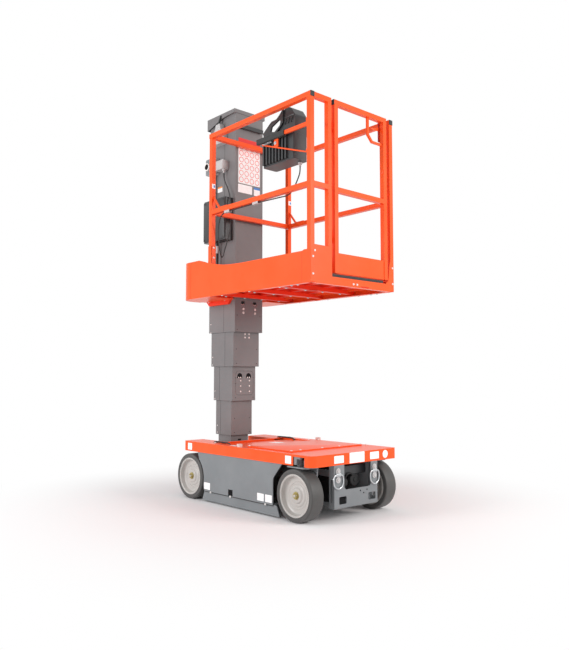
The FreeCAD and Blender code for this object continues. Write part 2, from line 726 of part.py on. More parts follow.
    stubs = []
    for _, side in SIDES:
        flange = round_bar("stub_flange", "Y", (side * well, side * (well + 14)),
                           (d.rear_axle, d.wheel_radius), 62)
        sleeve = round_bar("stub_sleeve", "Y", (side * (well + 14), side * (tyre_inner - 8)),
                           (d.rear_axle, d.wheel_radius), 40)
        spindle = round_bar("stub_spindle", "Y",
                            (side * (tyre_inner - 8), side * (half_track + d.tyre_width / 2 - 20)),
                            (d.rear_axle, d.wheel_radius), d.spindle_radius)
        stubs.append(fuse("rear_stub", [flange, sleeve, spindle]))
    piece("rear_stub_axles", group("rear_stub_axles", stubs))


# Mast sections from the inside out, each one step above the last
MAST = ("base", "a", "b", "c", "d")


def mast_size(name, which):
    """One of a mast section's sizes: half, front or rear."""
    return getattr(d, f"{name}_{which}")


def build_mast():
    """Five nested hollow columns, each guided by pads on its neighbour."""
    wall = d.mast_wall
    for steps, name in enumerate(MAST):
        half, front, rear = (mast_size(name, which) for which in ("half", "front", "rear"))
        low = pan_top if steps == 0 else d.mast_lowered + steps * d.mast_raise
        high = d.cap_top - d.cap_plate if name == "d" else low + d.mast_length
        if steps == 0:
            high = low + d.mast_length + 80
        tube = prism(
            f"mast_tube_{name}", "XY", (low, high), rectangle((rear, front), (-half, half)),
            [rectangle((rear + wall, front - wall), (-half + wall, half - wall))],
        )
        solids = [tube]
        if steps > 0:
            inner = MAST[steps - 1]
            in_half, in_front, in_rear = (mast_size(inner, which)
                                          for which in ("half", "front", "rear"))
            gap = d.fit_gap
            band = (low, low + d.mast_pad_height)
            middle = (in_rear + in_front) / 2
            solids.append(block("pad_front", (in_front + gap, front - wall), (-30, 30), band))
            solids.append(block("pad_rear", (rear + wall, in_rear - gap), (-30, 30), band))
            for _, side in SIDES:
                solids.append(block("pad_side", (middle - 30, middle + 30),
                                    (side * (in_half + gap), side * (half - wall)), band))
        else:
            solids.append(block("mast_foot", (rear - 8, front + 20), (-half - 40, half + 40),
                                (low, low + 12)))
        section = fuse(f"mast_section_{name}", solids)
        if name == "d":
            section = cut_slots(section, front, low)
        piece(f"mast_section_{name}", section)
    build_cap()
    build_mast_boxes()


def cut_slots(section, front, low):
    """Two round-topped windows in the front wall of the outer section."""
    tools = []
    for _, side in SIDES:
        window = prism(f"slot_{side}", "YZ", (front - d.mast_wall - 1, front + 1),
                       rectangle((side * 55 - 17, side * 55 + 17), (low + 200, low + 227), 10))
        tools.append(window)
    return cut("mast_section_d_cut", section, tools)


def build_cap():
    """The hood over the mast, deeper at the rear, and the bar on stand-offs below it."""
    half = d.cap_half_width
    top = d.cap_top
    sides = [
        (d.cap_rear, top), (d.cap_front, top), (d.cap_front, top - d.cap_plate),
        (d.cap_front - 140, top - d.cap_plate - 6), (d.cap_rear, top - d.cap_skirt),
    ]
    hood = prism("cap_hood", "XZ", (-half, half), sides)
    inside = block("cap_inside", (d.cap_rear + d.cap_sheet, d.cap_front - d.cap_sheet),
                   (d.cap_sheet - half, half - d.cap_sheet), (top - 200, top - d.cap_plate))
    piece("mast_cap", cut("mast_cap", hood, [inside]))
    front = d.d_front
    low = top - d.cap_bar_drop
    stands = [block("bar_stand", (front, front + 16), (place - 8, place + 8), (low + 5, low + 23))
              for place in (-77, 92)]
    bar = block("bar_plate", (front + 16, front + 28), (-97, 112), (low, low + 28))
    piece("mast_bar", fuse("mast_bar", stands + [bar]))


def build_mast_boxes():
    """The relay box and the two switch boxes on the right side of the outer section."""
    wall = -d.d_half
    rear = d.relay_front - d.relay_length
    outer = wall - d.relay_depth
    relay = prism("relay_box", "XY", (d.relay_bottom, d.relay_bottom + d.relay_height),
                  [(rear, wall), (rear, outer, 14), (d.relay_front, outer, 14),
                   (d.relay_front, wall)])
    piece("relay_box", relay)
    outer = wall - d.switch_depth
    boxes = []
    for name, low, x, heights in (
            ("upper", d.upper_switch, (-609, -470), (100, 122, 154)),
            ("lower", d.lower_switch, (-564, -450), (72,))):
        boxes.append(prism(f"switch_{name}", "XZ", (outer, wall),
                           rectangle(x, (low, low + heights[0]), 10)))
        if len(heights) > 1:
            neck = prism("switch_neck", "XZ", (outer + 6, wall),
                         [(-590, low + 90), (-484, low + 90), (-500, low + heights[1]),
                          (-508, low + heights[2]), (-556, low + heights[2]),
                          (-564, low + heights[1])])
            boxes[-1] = fuse("switch_upper_whole", [boxes[-1], neck])
    low = d.lower_switch - 15
    junction = prism("junction_box", "XZ", (outer, wall),
                     rectangle((-670, -566), (low, low + 126), 10))
    socket = round_bar("junction_socket", "Y", (outer - 16, outer), (-638, low + 63), 30)
    boxes.append(fuse("junction_whole", [junction, socket]))
    piece("switch_boxes", group("switch_boxes", boxes))
    loom = round_bar("box_loom", "Z", (d.relay_bottom + d.relay_height, low),
                     (-600, wall - 16), 8)
    piece("box_loom", loom)


def build_platform():
    """The platform: floor, toe panels, guard rails and front sill."""
    half = platform_half
    sheet_ = d.panel_sheet
    front, rear = d.platform_front, d.platform_rear
    low = d.platform_bottom
    floor_span = (rear + 20, front - 36)
    under = d.floor_top - d.floor_sheet
    split = low + 38
    floor = block("platform_floor", floor_span, (sheet_ - half, half - sheet_),
                  (under, d.floor_top))
    piece("platform_floor", floor)
    ribs = [block("floor_rib", floor_span, (place - 12, place + 12), (split, under))
            for place in (-250, -80, 80, 250)]
    crosses = [block("floor_cross", (place, place + 30), (sheet_ - half, half - sheet_),
                     (low + 12, split)) for place in (rear + 20, 0, 320, front - 66)]
    piece("floor_frame", group("floor_frame", ribs + crosses))

    brackets = []
    for _, side in SIDES:
        arm = prism(
            "carriage_arm", "XZ", (side * d.d_half, side * (d.d_half + 20)),
            [(-694, low + 7), (-657, low - 30), (-421, low - 30), (-380, low + 20),
             (rear + 4, low + 20), (rear + 4, low + 56), (-694, low + 56)],
        )
        brackets.append(arm)
    brackets.append(block("carriage_cross", (rear + 4, rear + 20),
                          (-d.d_half - 20, d.d_half + 20), (low + 20, d.floor_top - 5)))
    piece("carriage", fuse("carriage", brackets))

    top_line = [
        (-454, d.panel_top_rear), (-394, d.panel_top_rear - 15), (-334, d.panel_top_rear - 34),
        (-234, d.panel_top + 21), (-164, d.panel_top + 10), (-84, d.panel_top + 4),
        (36, d.panel_top), (front, d.panel_top), (front, d.panel_top_rear + 50),
        (-454, d.panel_top_rear + 50),
    ]
    bend = d.panel_corner
    for name, side in SIDES:
        plan = [
            (d.panel_rear, side * 190), (d.panel_rear, side * half, bend),
            (front - d.tube, side * half), (front - d.tube, side * (half - sheet_)),
            (d.panel_rear + sheet_, side * (half - sheet_), bend - sheet_),
            (d.panel_rear + sheet_, side * 190),
        ]
        wrap = prism(f"panel_wrap_{name}", "XY", (low, d.panel_top_rear), plan)
        above = prism(f"panel_above_{name}", "XZ", (0, side * (half + 10)), top_line)
        piece(f"toe_panel_{name}", cut(f"toe_panel_{name}", wrap, [above]))
    build_guards()
    build_front()


def build_guards():
    """The side and rear guard rails."""
    half, tube, sheet_ = platform_half, d.tube, d.panel_sheet
    front, rear = d.platform_front, d.platform_rear
    low = d.platform_bottom
    for name, side in SIDES:
        band = (side * (half - tube), side * half)
        inset = (side * (half - tube - sheet_), side * (half - sheet_))
        rails = [
            block("post_front", (front - tube, front), band, (low + 4, post_top)),
            block("post_rear", (rear, rear + tube), inset, (d.floor_top, post_top)),
            block("rail_top", (rear, front), band, (post_top, d.top_rail)),
            block("rail_mid", (rear, front - tube), inset, (d.mid_rail - tube, d.mid_rail)),
        ]
        brace = prism(
            f"guard_brace_{name}", "XZ", (side * (half - sheet_ - 22), side * (half - sheet_ - 10)),
            [(rear + tube - 4, d.mid_rail + 104), (rear + tube - 4, d.mid_rail + 88),
             (-242, d.mid_rail - 4), (-150, d.mid_rail - 4), (-150, d.mid_rail + 8),
             (-236, d.mid_rail + 8)],
        )
        piece(f"guard_{name}", fuse(f"guard_{name}", rails + [brace]))
    inner = half - tube
    rear_top = block("rear_top", (rear, rear + tube), (-inner, inner), (post_top, d.top_rail))
    rear_mid = block("rear_mid", (rear, rear + tube), (sheet_ - inner, inner - sheet_),
                     (d.mid_rail - tube, d.mid_rail))
    piece("guard_rear", group("guard_rear", [rear_top, rear_mid]))
    plugs = [block("rail_plug", (front, front + d.plug), (side * inner, side * half),
                   (post_top, d.top_rail)) for _, side in SIDES]
    piece("rail_plugs", group("rail_plugs", plugs))


def hinge_places():
    """The bottoms of the two hinges and the plan position of their pins."""
    rear_face = d.platform_front - d.tube
    return (d.hinge_low, d.hinge_high), rear_face - d.hinge_barrel, (hinge_post + gate_near) / 2


def build_front():
    """The front: hinge post, short rails, toe plate, sill, rubber strip and corner bracket."""
    half, tube, sheet_ = platform_half, d.tube, d.panel_sheet
    front = d.platform_front
    inner = half - tube
    sill_x = (front - tube, front)
    post = hinge_post - 30
    fixed = [
        block("hinge_post", sill_x, (post, hinge_post), (sill_top, d.top_rail)),
        block("front_top", sill_x, (-inner, post), (post_top, d.top_rail)),
        block("front_mid", sill_x, (-inner, post), (d.mid_rail - tube, d.mid_rail)),
        block("front_toe", (front - sheet_, front), (-inner, post), (sill_top, d.panel_top + 35)),
        block("sill", sill_x, (-inner, inner), (d.platform_bottom, sill_top)),
    ]
    bottoms, pin_x, pin_y = hinge_places()
    leaf = (front - tube - 4, front - tube)
    for bottom in bottoms:
        share = (bottom, bottom + d.hinge_share)
        fixed.append(block("hinge_leaf", leaf, (post + 8, pin_y), share))
        fixed.append(round_bar("hinge_barrel", "Z", share, (pin_x, pin_y), d.hinge_barrel))
        fixed.append(round_bar("hinge_pin", "Z", (bottom, bottom + d.hinge_height),
                               (pin_x, pin_y), d.hinge_pin))
    piece("guard_front", fuse("guard_front", fixed))
    rubber = block("sill_rubber", (front - tube, front - 8), (hinge_post, half - 99),
                   (sill_top, rubber_top))
    piece("sill_rubber", rubber)
    corner = prism(
        "corner_bracket", "YZ", (front - sheet_, front),
        [(inner, sill_top), (inner, d.panel_top + 2), (half - 38, d.panel_top + 2),
         (half - 42, d.panel_top - 23), (half - 56, gate_bottom - 5), (half - 83, sill_top)],
    )
    piece("corner_bracket", corner)


def build_gate():
    """The gate, hinged on the post right of it so that it swings inward."""
    front, tube = d.platform_front, d.tube
    x = (front - tube, front)
    near, far = gate_near, gate_far
    mid = d.mid_rail - d.gate_mid_drop
    guard = prism(
        "gate_guard", "YZ", (front - 24, front - 10),
        [(far - 178, post_top + 2), (far - 178, post_top - 114), (far - 132, post_top - 160),
         (far - tube + 2, post_top - 160), (far - tube + 2, post_top - 146),
         (far - 126, post_top - 146), (far - 162, post_top - 108), (far - 162, post_top + 2)],
    )
    parts = [
        block("gate_near_post", x, (near, near + tube), (gate_bottom, post_top)),
        block("gate_far_post", x, (far - tube, far), (gate_bottom, post_top)),
        block("gate_top", x, (near, far), (post_top, d.top_rail)),
        block("gate_mid", x, (near + tube, far - tube), (mid - tube, mid)),
        block("gate_toe", (front - 8, front - 4), (near + tube, far - tube),
              (gate_bottom, gate_bottom + d.gate_toe)),
        guard,
    ]
    bottoms, pin_x, pin_y = hinge_places()
    bores = []
    for bottom in bottoms:
        share = (bottom + d.hinge_share + d.fit_gap, bottom + d.hinge_height)
        parts.append(block("gate_leaf", (front - tube - 4, front - tube), (pin_y, near + 24), share))
        parts.append(round_bar("gate_barrel", "Z", share, (pin_x, pin_y), d.hinge_barrel))
        bores.append(round_bar("gate_hinge_bore", "Z", (share[0] - 1, share[1] + 1),
                               (pin_x, pin_y), d.hinge_pin + d.fit_gap))
    piece("gate", cut("gate", fuse("gate_whole", parts), bores))
    latch = block("gate_latch", (front - tube - 8, front - tube), (far - 41, far - 5),
                  (post_top - 127, post_top + 5))
    piece("gate_latch", latch)
    plug = block("gate_plug", (front - tube, front), (near - d.plug, near),
                 (post_top, d.top_rail))
    piece("gate_plug", plug)


def build_controls():
    """The hand control box on its bracket inside the right guard rail."""
    half = platform_half
    rear, front = d.control_rear, d.control_front
    inner, wall = d.control_inner - half, d.control_outer - half
    low, waist, crest = d.control_bottom, d.control_waist, d.control_crest
    lower = prism("control_lower", "XY", (low, waist),
                  rectangle((rear, front), (wall, inner), 14))
    hood = prism(
        "control_hood", "XZ", (wall + 14, inner - 4),
        [(rear + 2, waist - 10), (front - 2, waist - 10), (front - 2, crest - 62, 28),
         (front - 42, crest - 2, 34), (front - 104, crest, 12), (front - 124, crest - 76),
         (front - 134, crest - 103), (front - 188, crest - 136), (rear + 2, waist + 14)],
    )
    fins = [block("control_fin", (place * d.fin_pitch + rear + 12,
                                  place * d.fin_pitch + rear + 12 + d.fin_width),
                  (wall - d.fin_depth, wall), (low + 12, waist - 18)) for place in range(8)]
    piece("control_box", fuse("control_box", [lower, hood] + fins))
    loop = prism(
        "control_loop", "XZ", (wall + 2, wall + 14),
        [(front - 106, crest - 1), (front - 142, crest - 34), (front - 171, crest - 53),
         (front - 217, crest - 55), (front - 239, crest - 68), (front - 305, crest - 116),
         (front - 296, crest - 140), (front - 206, crest - 170), (front - 106, crest - 90)],
        [[(front - 129, crest - 76), (front - 142, crest - 61), (front - 217, crest - 90),
          (front - 228, crest - 121), (front - 188, crest - 132), (front - 136, crest - 101)]],
    )
    piece("control_loop", loop)

    face = wall - d.fin_depth
    post = d.platform_front - d.tube
    strap = (face - 8, face)
    bar_y = (wall - 33, wall - 21)
    bar_top = d.bar_low + d.bar_height
    bar = fuse("bracket_bar_whole", [
        block("bracket_bar", (d.bar_rear, post), bar_y, (d.bar_low, bar_top)),
        block("bracket_bar_foot", (post - 6, post), (-half, wall - 21),
              (d.bar_low - 5, bar_top + 5)),
    ])
    strip = prism("bracket_strip", "XZ", strap,
                  [(186, d.bar_low - 16), (post, d.bar_low - 182), (post, d.bar_low - 173),
                   (186, d.bar_low - 7)])
    tab = block("bracket_tab", (306, 346), strap, (d.bar_low - 58, d.bar_low - 6))
    foot = block("bracket_strip_foot", (post - 6, post), (-half, face),
                 (d.bar_low - 185, d.bar_low - 164))
    piece("grip_bar", group("grip_bar", [bar, fuse("bracket_strip_whole", [strip, tab, foot])]))

    out = d.sleeve_wall
    sleeve = prism(
        "grip_sleeve", "YZ", (d.bar_rear, d.sleeve_front),
        rectangle((bar_y[0] - out, bar_y[1] + out), (d.bar_low - out, bar_top + out), 5),
        [rectangle(bar_y, (d.bar_low, bar_top))],
    )
    piece("grip_sleeve", sleeve)


def cord(name, points, radius):
    """A cord along straight runs that tangent arcs join."""
    reach = 0.45
    spots = [FreeCAD.Vector(*(as_size(value).value for value in point)) for point in points]
    edges = []
    radii = []
    start = spots[0]
    for before, corner, after in zip(spots, spots[1:], spots[2:]):
        back, ahead = before - corner, after - corner
        trim = reach * min(back.Length, ahead.Length)
        back.normalize()
        ahead.normalize()
        half_turn = (math.pi - back.getAngle(ahead)) / 2
        bend = trim / math.tan(half_turn)
        inward = back + ahead
        inward.normalize()
        crown = corner + inward * (bend / math.cos(half_turn) - bend)
        first, last = corner + back * trim, corner + ahead * trim
        edges.append(Part.makeLine(start, first))
        edges.append(Part.Arc(first, crown, last).toShape())
        radii.append(bend)
        start = last
    edges.append(Part.makeLine(start, spots[-1]))
    route = doc.addObject("Part::Feature", name + "_route")
    route.Shape = Part.Wire(edges)
    ring = doc.addObject("Part::Circle", name + "_section")
    bind(ring, "Radius", radius)
    ring.Placement = FreeCAD.Placement(
        spots[0], FreeCAD.Rotation(FreeCAD.Vector(0, 0, 1), spots[1] - spots[0]))
    sweep = doc.addObject("Part::Sweep", name)
    sweep.Sections = [ring]
    sweep.Spine = (route, [])
    sweep.Solid = True
    sweep.Frenet = False
    doc.recompute()
    expected = route.Shape.Length * math.pi * as_size(radius).value ** 2
    print(f"{name}: radii", " ".join(f"{bend:.0f}" for bend in radii))
    print(f"{name}: length {route.Shape.Length:.0f}, volume share "
          f"{sweep.Shape.Volume / expected:.4f}")
    return sweep


def build_cable():
    """The control cable from the control box under the mid rail to the lower switch box."""
    side = -platform_half
    mast = -d.d_half
    low = d.control_bottom
    rail = d.mid_rail - d.tube
    box_gland = (d.control_front - 42, side + 166)
    mast_gland = (-470, mast - 27)
    nut, tip = 12, 28
    glands = []
    for place, base in ((box_gland, low), (mast_gland, d.lower_switch)):
        glands.append(fuse("gland", [
            round_bar("gland_nut", "Z", (base - nut, base), place, d.gland_radius),
            round_bar("gland_tip", "Z", (base - tip, base - nut), place, d.gland_tip),
        ]))
    x, y = box_gland
    start = low - tip
    end = d.lower_switch - tip
    points = [
        (x, y, start), (x, y, start - 36), (x + 8, y - 23, start - 77),
        (x + 22, y - 53, start - 117), (x + 33, y - 83, start - 157),
        (x + 32, side + 55, rail + 4), (x + 20, side + 31, rail - 14),
        (x - 30, side + 21, rail - 15), (335, side + 18, rail - 14), (255, side + 18, rail - 11),
        (180, side + 19, rail - 8), (-150, side + 19, rail - 8), (-193, side + 20, rail - 12),
        (-228, side + 24, rail - 26), (-258, side + 31, rail - 54),
        (-283, side + 41, rail - 103), (-294, side + 51, rail - 168), (-297, side + 61, rail - 233),
        (-297, side + 73, rail - 276), (-316, side + 98, rail - 301),
        (-338, side + 123, rail - 286), (-346, side + 138, rail - 260),
        (-337, side + 148, rail - 210), (-325, side + 161, rail - 148), (-330, mast - 70, rail - 84),
        (-357, mast - 42, rail - 23), (-361, mast - 38, rail + 45), (-366, mast - 36, rail + 110),
        (-383, mast - 33, rail + 176), (-410, mast - 30, rail + 239), (-444, mast - 28, end - 86),
        (mast_gland[0], mast_gland[1], end - 38), (mast_gland[0], mast_gland[1], end),
    ]
    piece("control_cable", cord("control_cable", points, d.cable_radius))
    for start_x in (136, -172):
        span = (start_x, start_x + 58)
        glands.append(fuse("clip", [
            block("clip_base", span, (side + 8, side + 30), (rail - 16, rail - 14)),
            block("clip_leg", span, (side + 8, side + 10), (rail - 15, rail)),
            block("clip_leg", span, (side + 28, side + 30), (rail - 15, rail)),
        ]))
    piece("cable_fittings", group("cable_fittings", glands))


def check_and_write():
    """Stop on any failed object, then write each sub-part."""
    doc.recompute()
    failed = [f"{item.Label}: {item.getStatusString()}" for item in doc.Objects
              if "Invalid" in item.State or "Error" in item.State]
    if failed:
        raise RuntimeError("; ".join(failed))
    os.makedirs("parts", exist_ok=True)
    for name, item in pieces:
        shape = item.Shape
        if shape.isNull() or not shape.isValid():
            raise RuntimeError(f"{name} has no valid shape")
        shape.exportStep(f"parts/{name}.step")
        print(f"{name}: {len(shape.Solids)} solid, {shape.Volume / 1000:.0f} cm3")


for side_name, side in SIDES:
    build_wheel("front", side_name, side, d.front_axle)
    build_wheel("rear", side_name, side, d.rear_axle)
    build_knuckle(side_name, side)
build_tie_rod()
build_deck()
build_chassis()
build_mast()
build_platform()
build_gate()
build_controls()
build_cable()
check_and_write()
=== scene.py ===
"""Vertical mast lift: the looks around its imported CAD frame.

Sizes are in millimetres in the CAD's own frame (+X to the gate, +Y left, +Z up) and are turned
to metres where a mesh is made. Each sub-assembly is a class with its sizes as fields.
"""
import json
import logging
import math
from dataclasses import dataclass, field
from enum import Enum
from typing import ClassVar

import bmesh
import bpy
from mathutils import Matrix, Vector


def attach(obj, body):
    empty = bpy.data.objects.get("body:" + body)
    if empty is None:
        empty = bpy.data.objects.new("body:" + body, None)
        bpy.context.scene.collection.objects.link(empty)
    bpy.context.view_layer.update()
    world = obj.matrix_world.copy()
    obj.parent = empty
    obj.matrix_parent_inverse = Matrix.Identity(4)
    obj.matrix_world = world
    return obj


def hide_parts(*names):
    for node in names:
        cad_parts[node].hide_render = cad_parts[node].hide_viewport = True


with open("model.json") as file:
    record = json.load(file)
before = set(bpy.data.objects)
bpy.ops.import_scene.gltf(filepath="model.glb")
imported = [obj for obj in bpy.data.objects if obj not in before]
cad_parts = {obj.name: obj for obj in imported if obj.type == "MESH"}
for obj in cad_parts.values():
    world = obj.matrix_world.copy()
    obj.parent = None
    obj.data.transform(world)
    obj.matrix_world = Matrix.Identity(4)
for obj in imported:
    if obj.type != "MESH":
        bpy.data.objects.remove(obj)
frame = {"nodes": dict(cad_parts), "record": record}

log = logging.getLogger("mast_lift")
MM = 0.001
Place = tuple[float, float, float]
Outline = list[tuple[float, float]]
SIDES = {"left": 1, "right": -1}
HANDS = tuple(SIDES.values())
AHEAD: Place = (1, 0, 0)
UP: Place = (0, 0, 1)
DOWN: Place = (0, 0, -1)
RIGHT: Place = (0, -1, 0)
SUNK = 0.3  # how deep plates and joints reach into the face under them
SMOOTH_BELOW = math.radians(32)  # edges flatter than this are shaded smooth


class Body(str, Enum):
    """The moving bodies that the pieces ride on."""

    CHASSIS = "chassis"
    MAST_A = "mast_a"
    MAST_B = "mast_b"
    MAST_C = "mast_c"
    PLATFORM = "platform"
    GATE = "gate"
    WHEEL_FRONT_LEFT = "front_wheel_left"
    WHEEL_FRONT_RIGHT = "front_wheel_right"
    WHEEL_REAR_LEFT = "rear_wheel_left"
    WHEEL_REAR_RIGHT = "rear_wheel_right"


class Slot(str, Enum):
    """The record's material slots."""

    TYRE = "tyre_rubber"
    RIM = "rim_paint"
    GREY = "frame_grey"
    ORANGE = "machine_orange"
    PAD = "pad_white"
    ZINC = "zinc_steel"
    BATTERY = "battery_black"
    MAST = "mast_grey"
    BOX = "box_plastic"
    SWITCH = "switch_plastic"
    RUBBER = "black_rubber"


class Way(Enum):
    """The direction that a shape is drawn out or turned about."""

    X = 0
    Y = 1
    Z = 2


def linear(code: str) -> tuple[float, float, float, float]:
    """Turn an sRGB hex value into a linear colour.

    Args:
        code: The colour as #RRGGBB.

    Returns:
        Red, green, blue and alpha, linear.
    """
    parts = [int(code[i:i + 2], 16) / 255 for i in (1, 3, 5)]
    return tuple(c / 12.92 if c <= 0.04045 else ((c + 0.055) / 1.055) ** 2.4
                 for c in parts) + (1.0,)


def add_node(tree: bpy.types.NodeTree, kind: str, settings: dict | None = None,
             links: dict | None = None) -> bpy.types.Node:
    """Add one node with its settings and links.

    Args:
        tree: The shader or geometry tree.
        kind: The node's type name.
        settings: Properties by name, or input values by socket name or number.
        links: Output sockets by the name or number of the input that they feed.

    Returns:
        The new node.
    """
    node = tree.nodes.new(kind)
    for key, value in (settings or {}).items():
        if isinstance(key, str) and hasattr(node, key):
            setattr(node, key, value)
        else:
            node.inputs[key].default_value = value
    for key, source in (links or {}).items():
        tree.links.new(source, node.inputs[key])
    return node


def reckon(tree: bpy.types.NodeTree, operation: str, *values: object,
           vector: bool = False) -> bpy.types.NodeSocket:
    """Add a math node.

    Args:
        tree: The tree that it goes in.
        operation: The node's operation.
        values: Its inputs in order: sockets that feed it, or plain values.
        vector: Whether it works on vectors.

    Returns:
        The result's socket.
    """
    fed = {i: v for i, v in enumerate(values) if isinstance(v, bpy.types.NodeSocket)}
    fixed = {i: v for i, v in enumerate(values) if i not in fed}
    node = add_node(tree, "ShaderNodeVectorMath" if vector else "ShaderNodeMath",
                    {"operation": operation, **fixed}, fed)
    return node.outputs["Value" if operation in ("LENGTH", "DOT_PRODUCT") else 0]


def remap(tree: bpy.types.NodeTree, value: bpy.types.NodeSocket, start: float = 0.0,
          end: float = 1.0, low: float = 0.0, high: float = 1.0,
          **settings: object) -> bpy.types.NodeSocket:
    """Turn a value that runs from start to end into one that runs from low to high.

    Args:
        tree: The tree that the node goes in.
        value: The value's socket.
        start: Where the value begins.
        end: Where it ends.
        low: What the beginning becomes.
        high: What the end becomes.
        settings: Further properties of the node.

    Returns:
        The result's socket.
    """
    return add_node(tree, "ShaderNodeMapRange",
                    {"From Min": start, "From Max": end, "To Min": low, "To Max": high,
                     **settings}, {"Value": value}).outputs["Result"]


def blend(tree: bpy.types.NodeTree, share: bpy.types.NodeSocket, one: object,
          two: object) -> bpy.types.NodeSocket:
    """Mix two colours, each given as a socket or as an sRGB hex value.

    Args:
        tree: The tree that the node goes in.
        share: How much of the second colour shows.
        one: The first colour.
        two: The second colour.

    Returns:
        The mixed colour's socket.
    """
    pair = {6: one, 7: two}
    return add_node(tree, "ShaderNodeMix",
                    {"data_type": "RGBA",
                     **{i: linear(c) for i, c in pair.items() if isinstance(c, str)}},
                    {0: share, **{i: c for i, c in pair.items() if not isinstance(c, str)}}
                    ).outputs[2]


def add_object(name: str, data: bpy.types.ID) -> bpy.types.Object:
    """Make an object and link it to the scene.

    Args:
        name: Its name.
        data: The mesh, curve, camera or lamp that it holds.

    Returns:
        The new object.
    """
    made = bpy.data.objects.new(name, data)
    bpy.context.scene.collection.objects.link(made)
    return made


def across(hand: int, one: float, two: float) -> tuple[float, float]:
    """Two distances from the middle, as a span on one side with its low end first."""
    return tuple(sorted((hand * one, hand * two)))


# ---------------------------------------------------------------- finishes


@dataclass(frozen=True)
class Finish:
    """A procedural finish on object coordinates.

    Attributes:
        name: The real material's common name and how its surface was made.
        colour: Main colour, sRGB hex.
        shade: Second colour that drifts in, sRGB hex.
        drift_mm: Size of that drift.
        grain_mm: Size of the surface's own grain.
        relief_mm: Depth of that grain.
        rough: Roughness.
        rough_drift: How far the roughness wanders.
        metal: Metallic value.
        edge: Colour of the painted highlight on rounded edges, sRGB hex.
        edge_mm: Radius of the softened edge, nought for none.
        edge_share: How much of the painted edge highlight shows.
        coat: Clear gloss over the finish.
        stretch: Scale of the grain along X, Y and Z, for drawn or brushed metal.
        glow: Sheen of rubber.
        shine: Strength of the mirror-like part of the surface.
        hole_mm: Spacing of punched holes, nought for none.
    """

    name: str
    colour: str
    shade: str
    drift_mm: float = 180
    grain_mm: float = 3
    relief_mm: float = 0.02
    rough: float = 0.4
    rough_drift: float = 0.06
    metal: float = 0.0
    edge: str = ""
    edge_mm: float = 1.2
    edge_share: float = 0.5
    coat: float = 0.0
    stretch: Place = (1, 1, 1)
    glow: float = 0.0
    shine: float = 0.4
    hole_mm: float = 0.0

    def material(self) -> bpy.types.Material:
        """Build the material.

        Returns:
            The new material, or the one of this name that is there already.
        """
        known = bpy.data.materials.get(self.name)
        if known:
            return known
        made = bpy.data.materials.new(self.name)
        made.use_nodes = True
        made.diffuse_color = linear(self.colour)
        tree = made.node_tree
        shader = tree.nodes["Principled BSDF"]
        where = add_node(tree, "ShaderNodeTexCoord").outputs["Object"]
        drawn = add_node(tree, "ShaderNodeMapping", {"Scale": self.stretch},
                         {"Vector": where}).outputs["Vector"]
        clouds = add_node(tree, "ShaderNodeTexNoise",
                          {"Scale": 1 / (self.drift_mm * MM), "Detail": 5.0, "Roughness": 0.62},
                          {"Vector": where}).outputs["Fac"]
        grain = add_node(tree, "ShaderNodeTexNoise",
                         {"Scale": 1 / (self.grain_mm * MM), "Detail": 3.0, "Roughness": 0.55},
                         {"Vector": drawn}).outputs["Fac"]
        colour = blend(tree, remap(tree, clouds, 0.34, 0.66), self.colour, self.shade)
        if self.hole_mm:
            colour = self.punched(tree, where, colour)
        normal = None
        if self.edge_mm:
            normal = add_node(tree, "ShaderNodeBevel",
                              {"samples": 4, "Radius": self.edge_mm * MM}).outputs["Normal"]
            # Painted highlight: where the bevelled normal turns away from the face's own normal,
            # at rounded edges, the colour is mixed towards the edge colour.
            if self.edge:
                flat = add_node(tree, "ShaderNodeNewGeometry").outputs["Normal"]
                turn = reckon(tree, "DOT_PRODUCT", normal, flat, vector=True)
                edge_highlight_share = remap(tree, turn, 0.995, 0.80, high=self.edge_share)
                colour = blend(tree, edge_highlight_share, colour, self.edge)
        bump = add_node(tree, "ShaderNodeBump",
                        {"Strength": 0.6, "Distance": self.relief_mm * MM}, {"Height": grain})
        if normal:
            tree.links.new(normal, bump.inputs["Normal"])
        rough = remap(tree, grain, low=self.rough - self.rough_drift,
                      high=self.rough + self.rough_drift)
        for socket, source in (("Base Color", colour), ("Roughness", rough),
                               ("Normal", bump.outputs["Normal"])):
            tree.links.new(source, shader.inputs[socket])
        for socket, value in (("Metallic", self.metal), ("Coat Weight", self.coat),
                              ("Coat Roughness", 0.25), ("Sheen Weight", self.glow),
                              ("Specular IOR Level", self.shine)):
            shader.inputs[socket].default_value = value
        return made

    def punched(self, tree: bpy.types.NodeTree, where: bpy.types.NodeSocket,
                colour: bpy.types.NodeSocket) -> bpy.types.NodeSocket:
        """Darken round holes on a square pitch, seen from above and below: painted shade for what
        lies beyond them.

        Args:
            tree: The material's tree.
            where: Object coordinates.
            colour: The sheet's own colour.

        Returns:
            The colour with the holes in it.
        """
        pitch = 1 / (self.hole_mm * MM)
        cell = reckon(tree, "MULTIPLY", where, (pitch, pitch, pitch), vector=True)
        cell = reckon(tree, "FRACTION", cell, vector=True)
        middle = reckon(tree, "SUBTRACT", cell, (0.5, 0.5, 0.5), vector=True)
        flat = reckon(tree, "MULTIPLY", middle, (1, 1, 0), vector=True)
        away = reckon(tree, "LENGTH", flat, vector=True)
        return blend(tree, remap(tree, away, 0.24, 0.30), "#5A1C10", colour)


# Powder coat on steel: an even satin colour, a fine orange-peel skin about 2 mm across, and a
# painted highlight along its rounded edges.
ORANGE_COAT = Finish("orange_powder_coat_on_steel", "#FF581F", "#FC5E2A", drift_mm=260,
                     grain_mm=2.2, rough=0.3, edge="#FF7040", edge_mm=1.6, edge_share=0.3,
                     shine=0.2)
# The same coat on punched sheet, painted redder for the shade below the floor, where only light
# from other orange faces reaches it; 9 mm holes on an 18 mm pitch, painted dark as shade, give the
# fine dots of the floor.
PUNCHED_FLOOR = Finish("orange_powder_coat_on_punched_sheet", "#FB3216", "#F8381C", drift_mm=260,
                       grain_mm=2.2, rough=0.36, edge_mm=0, hole_mm=18)
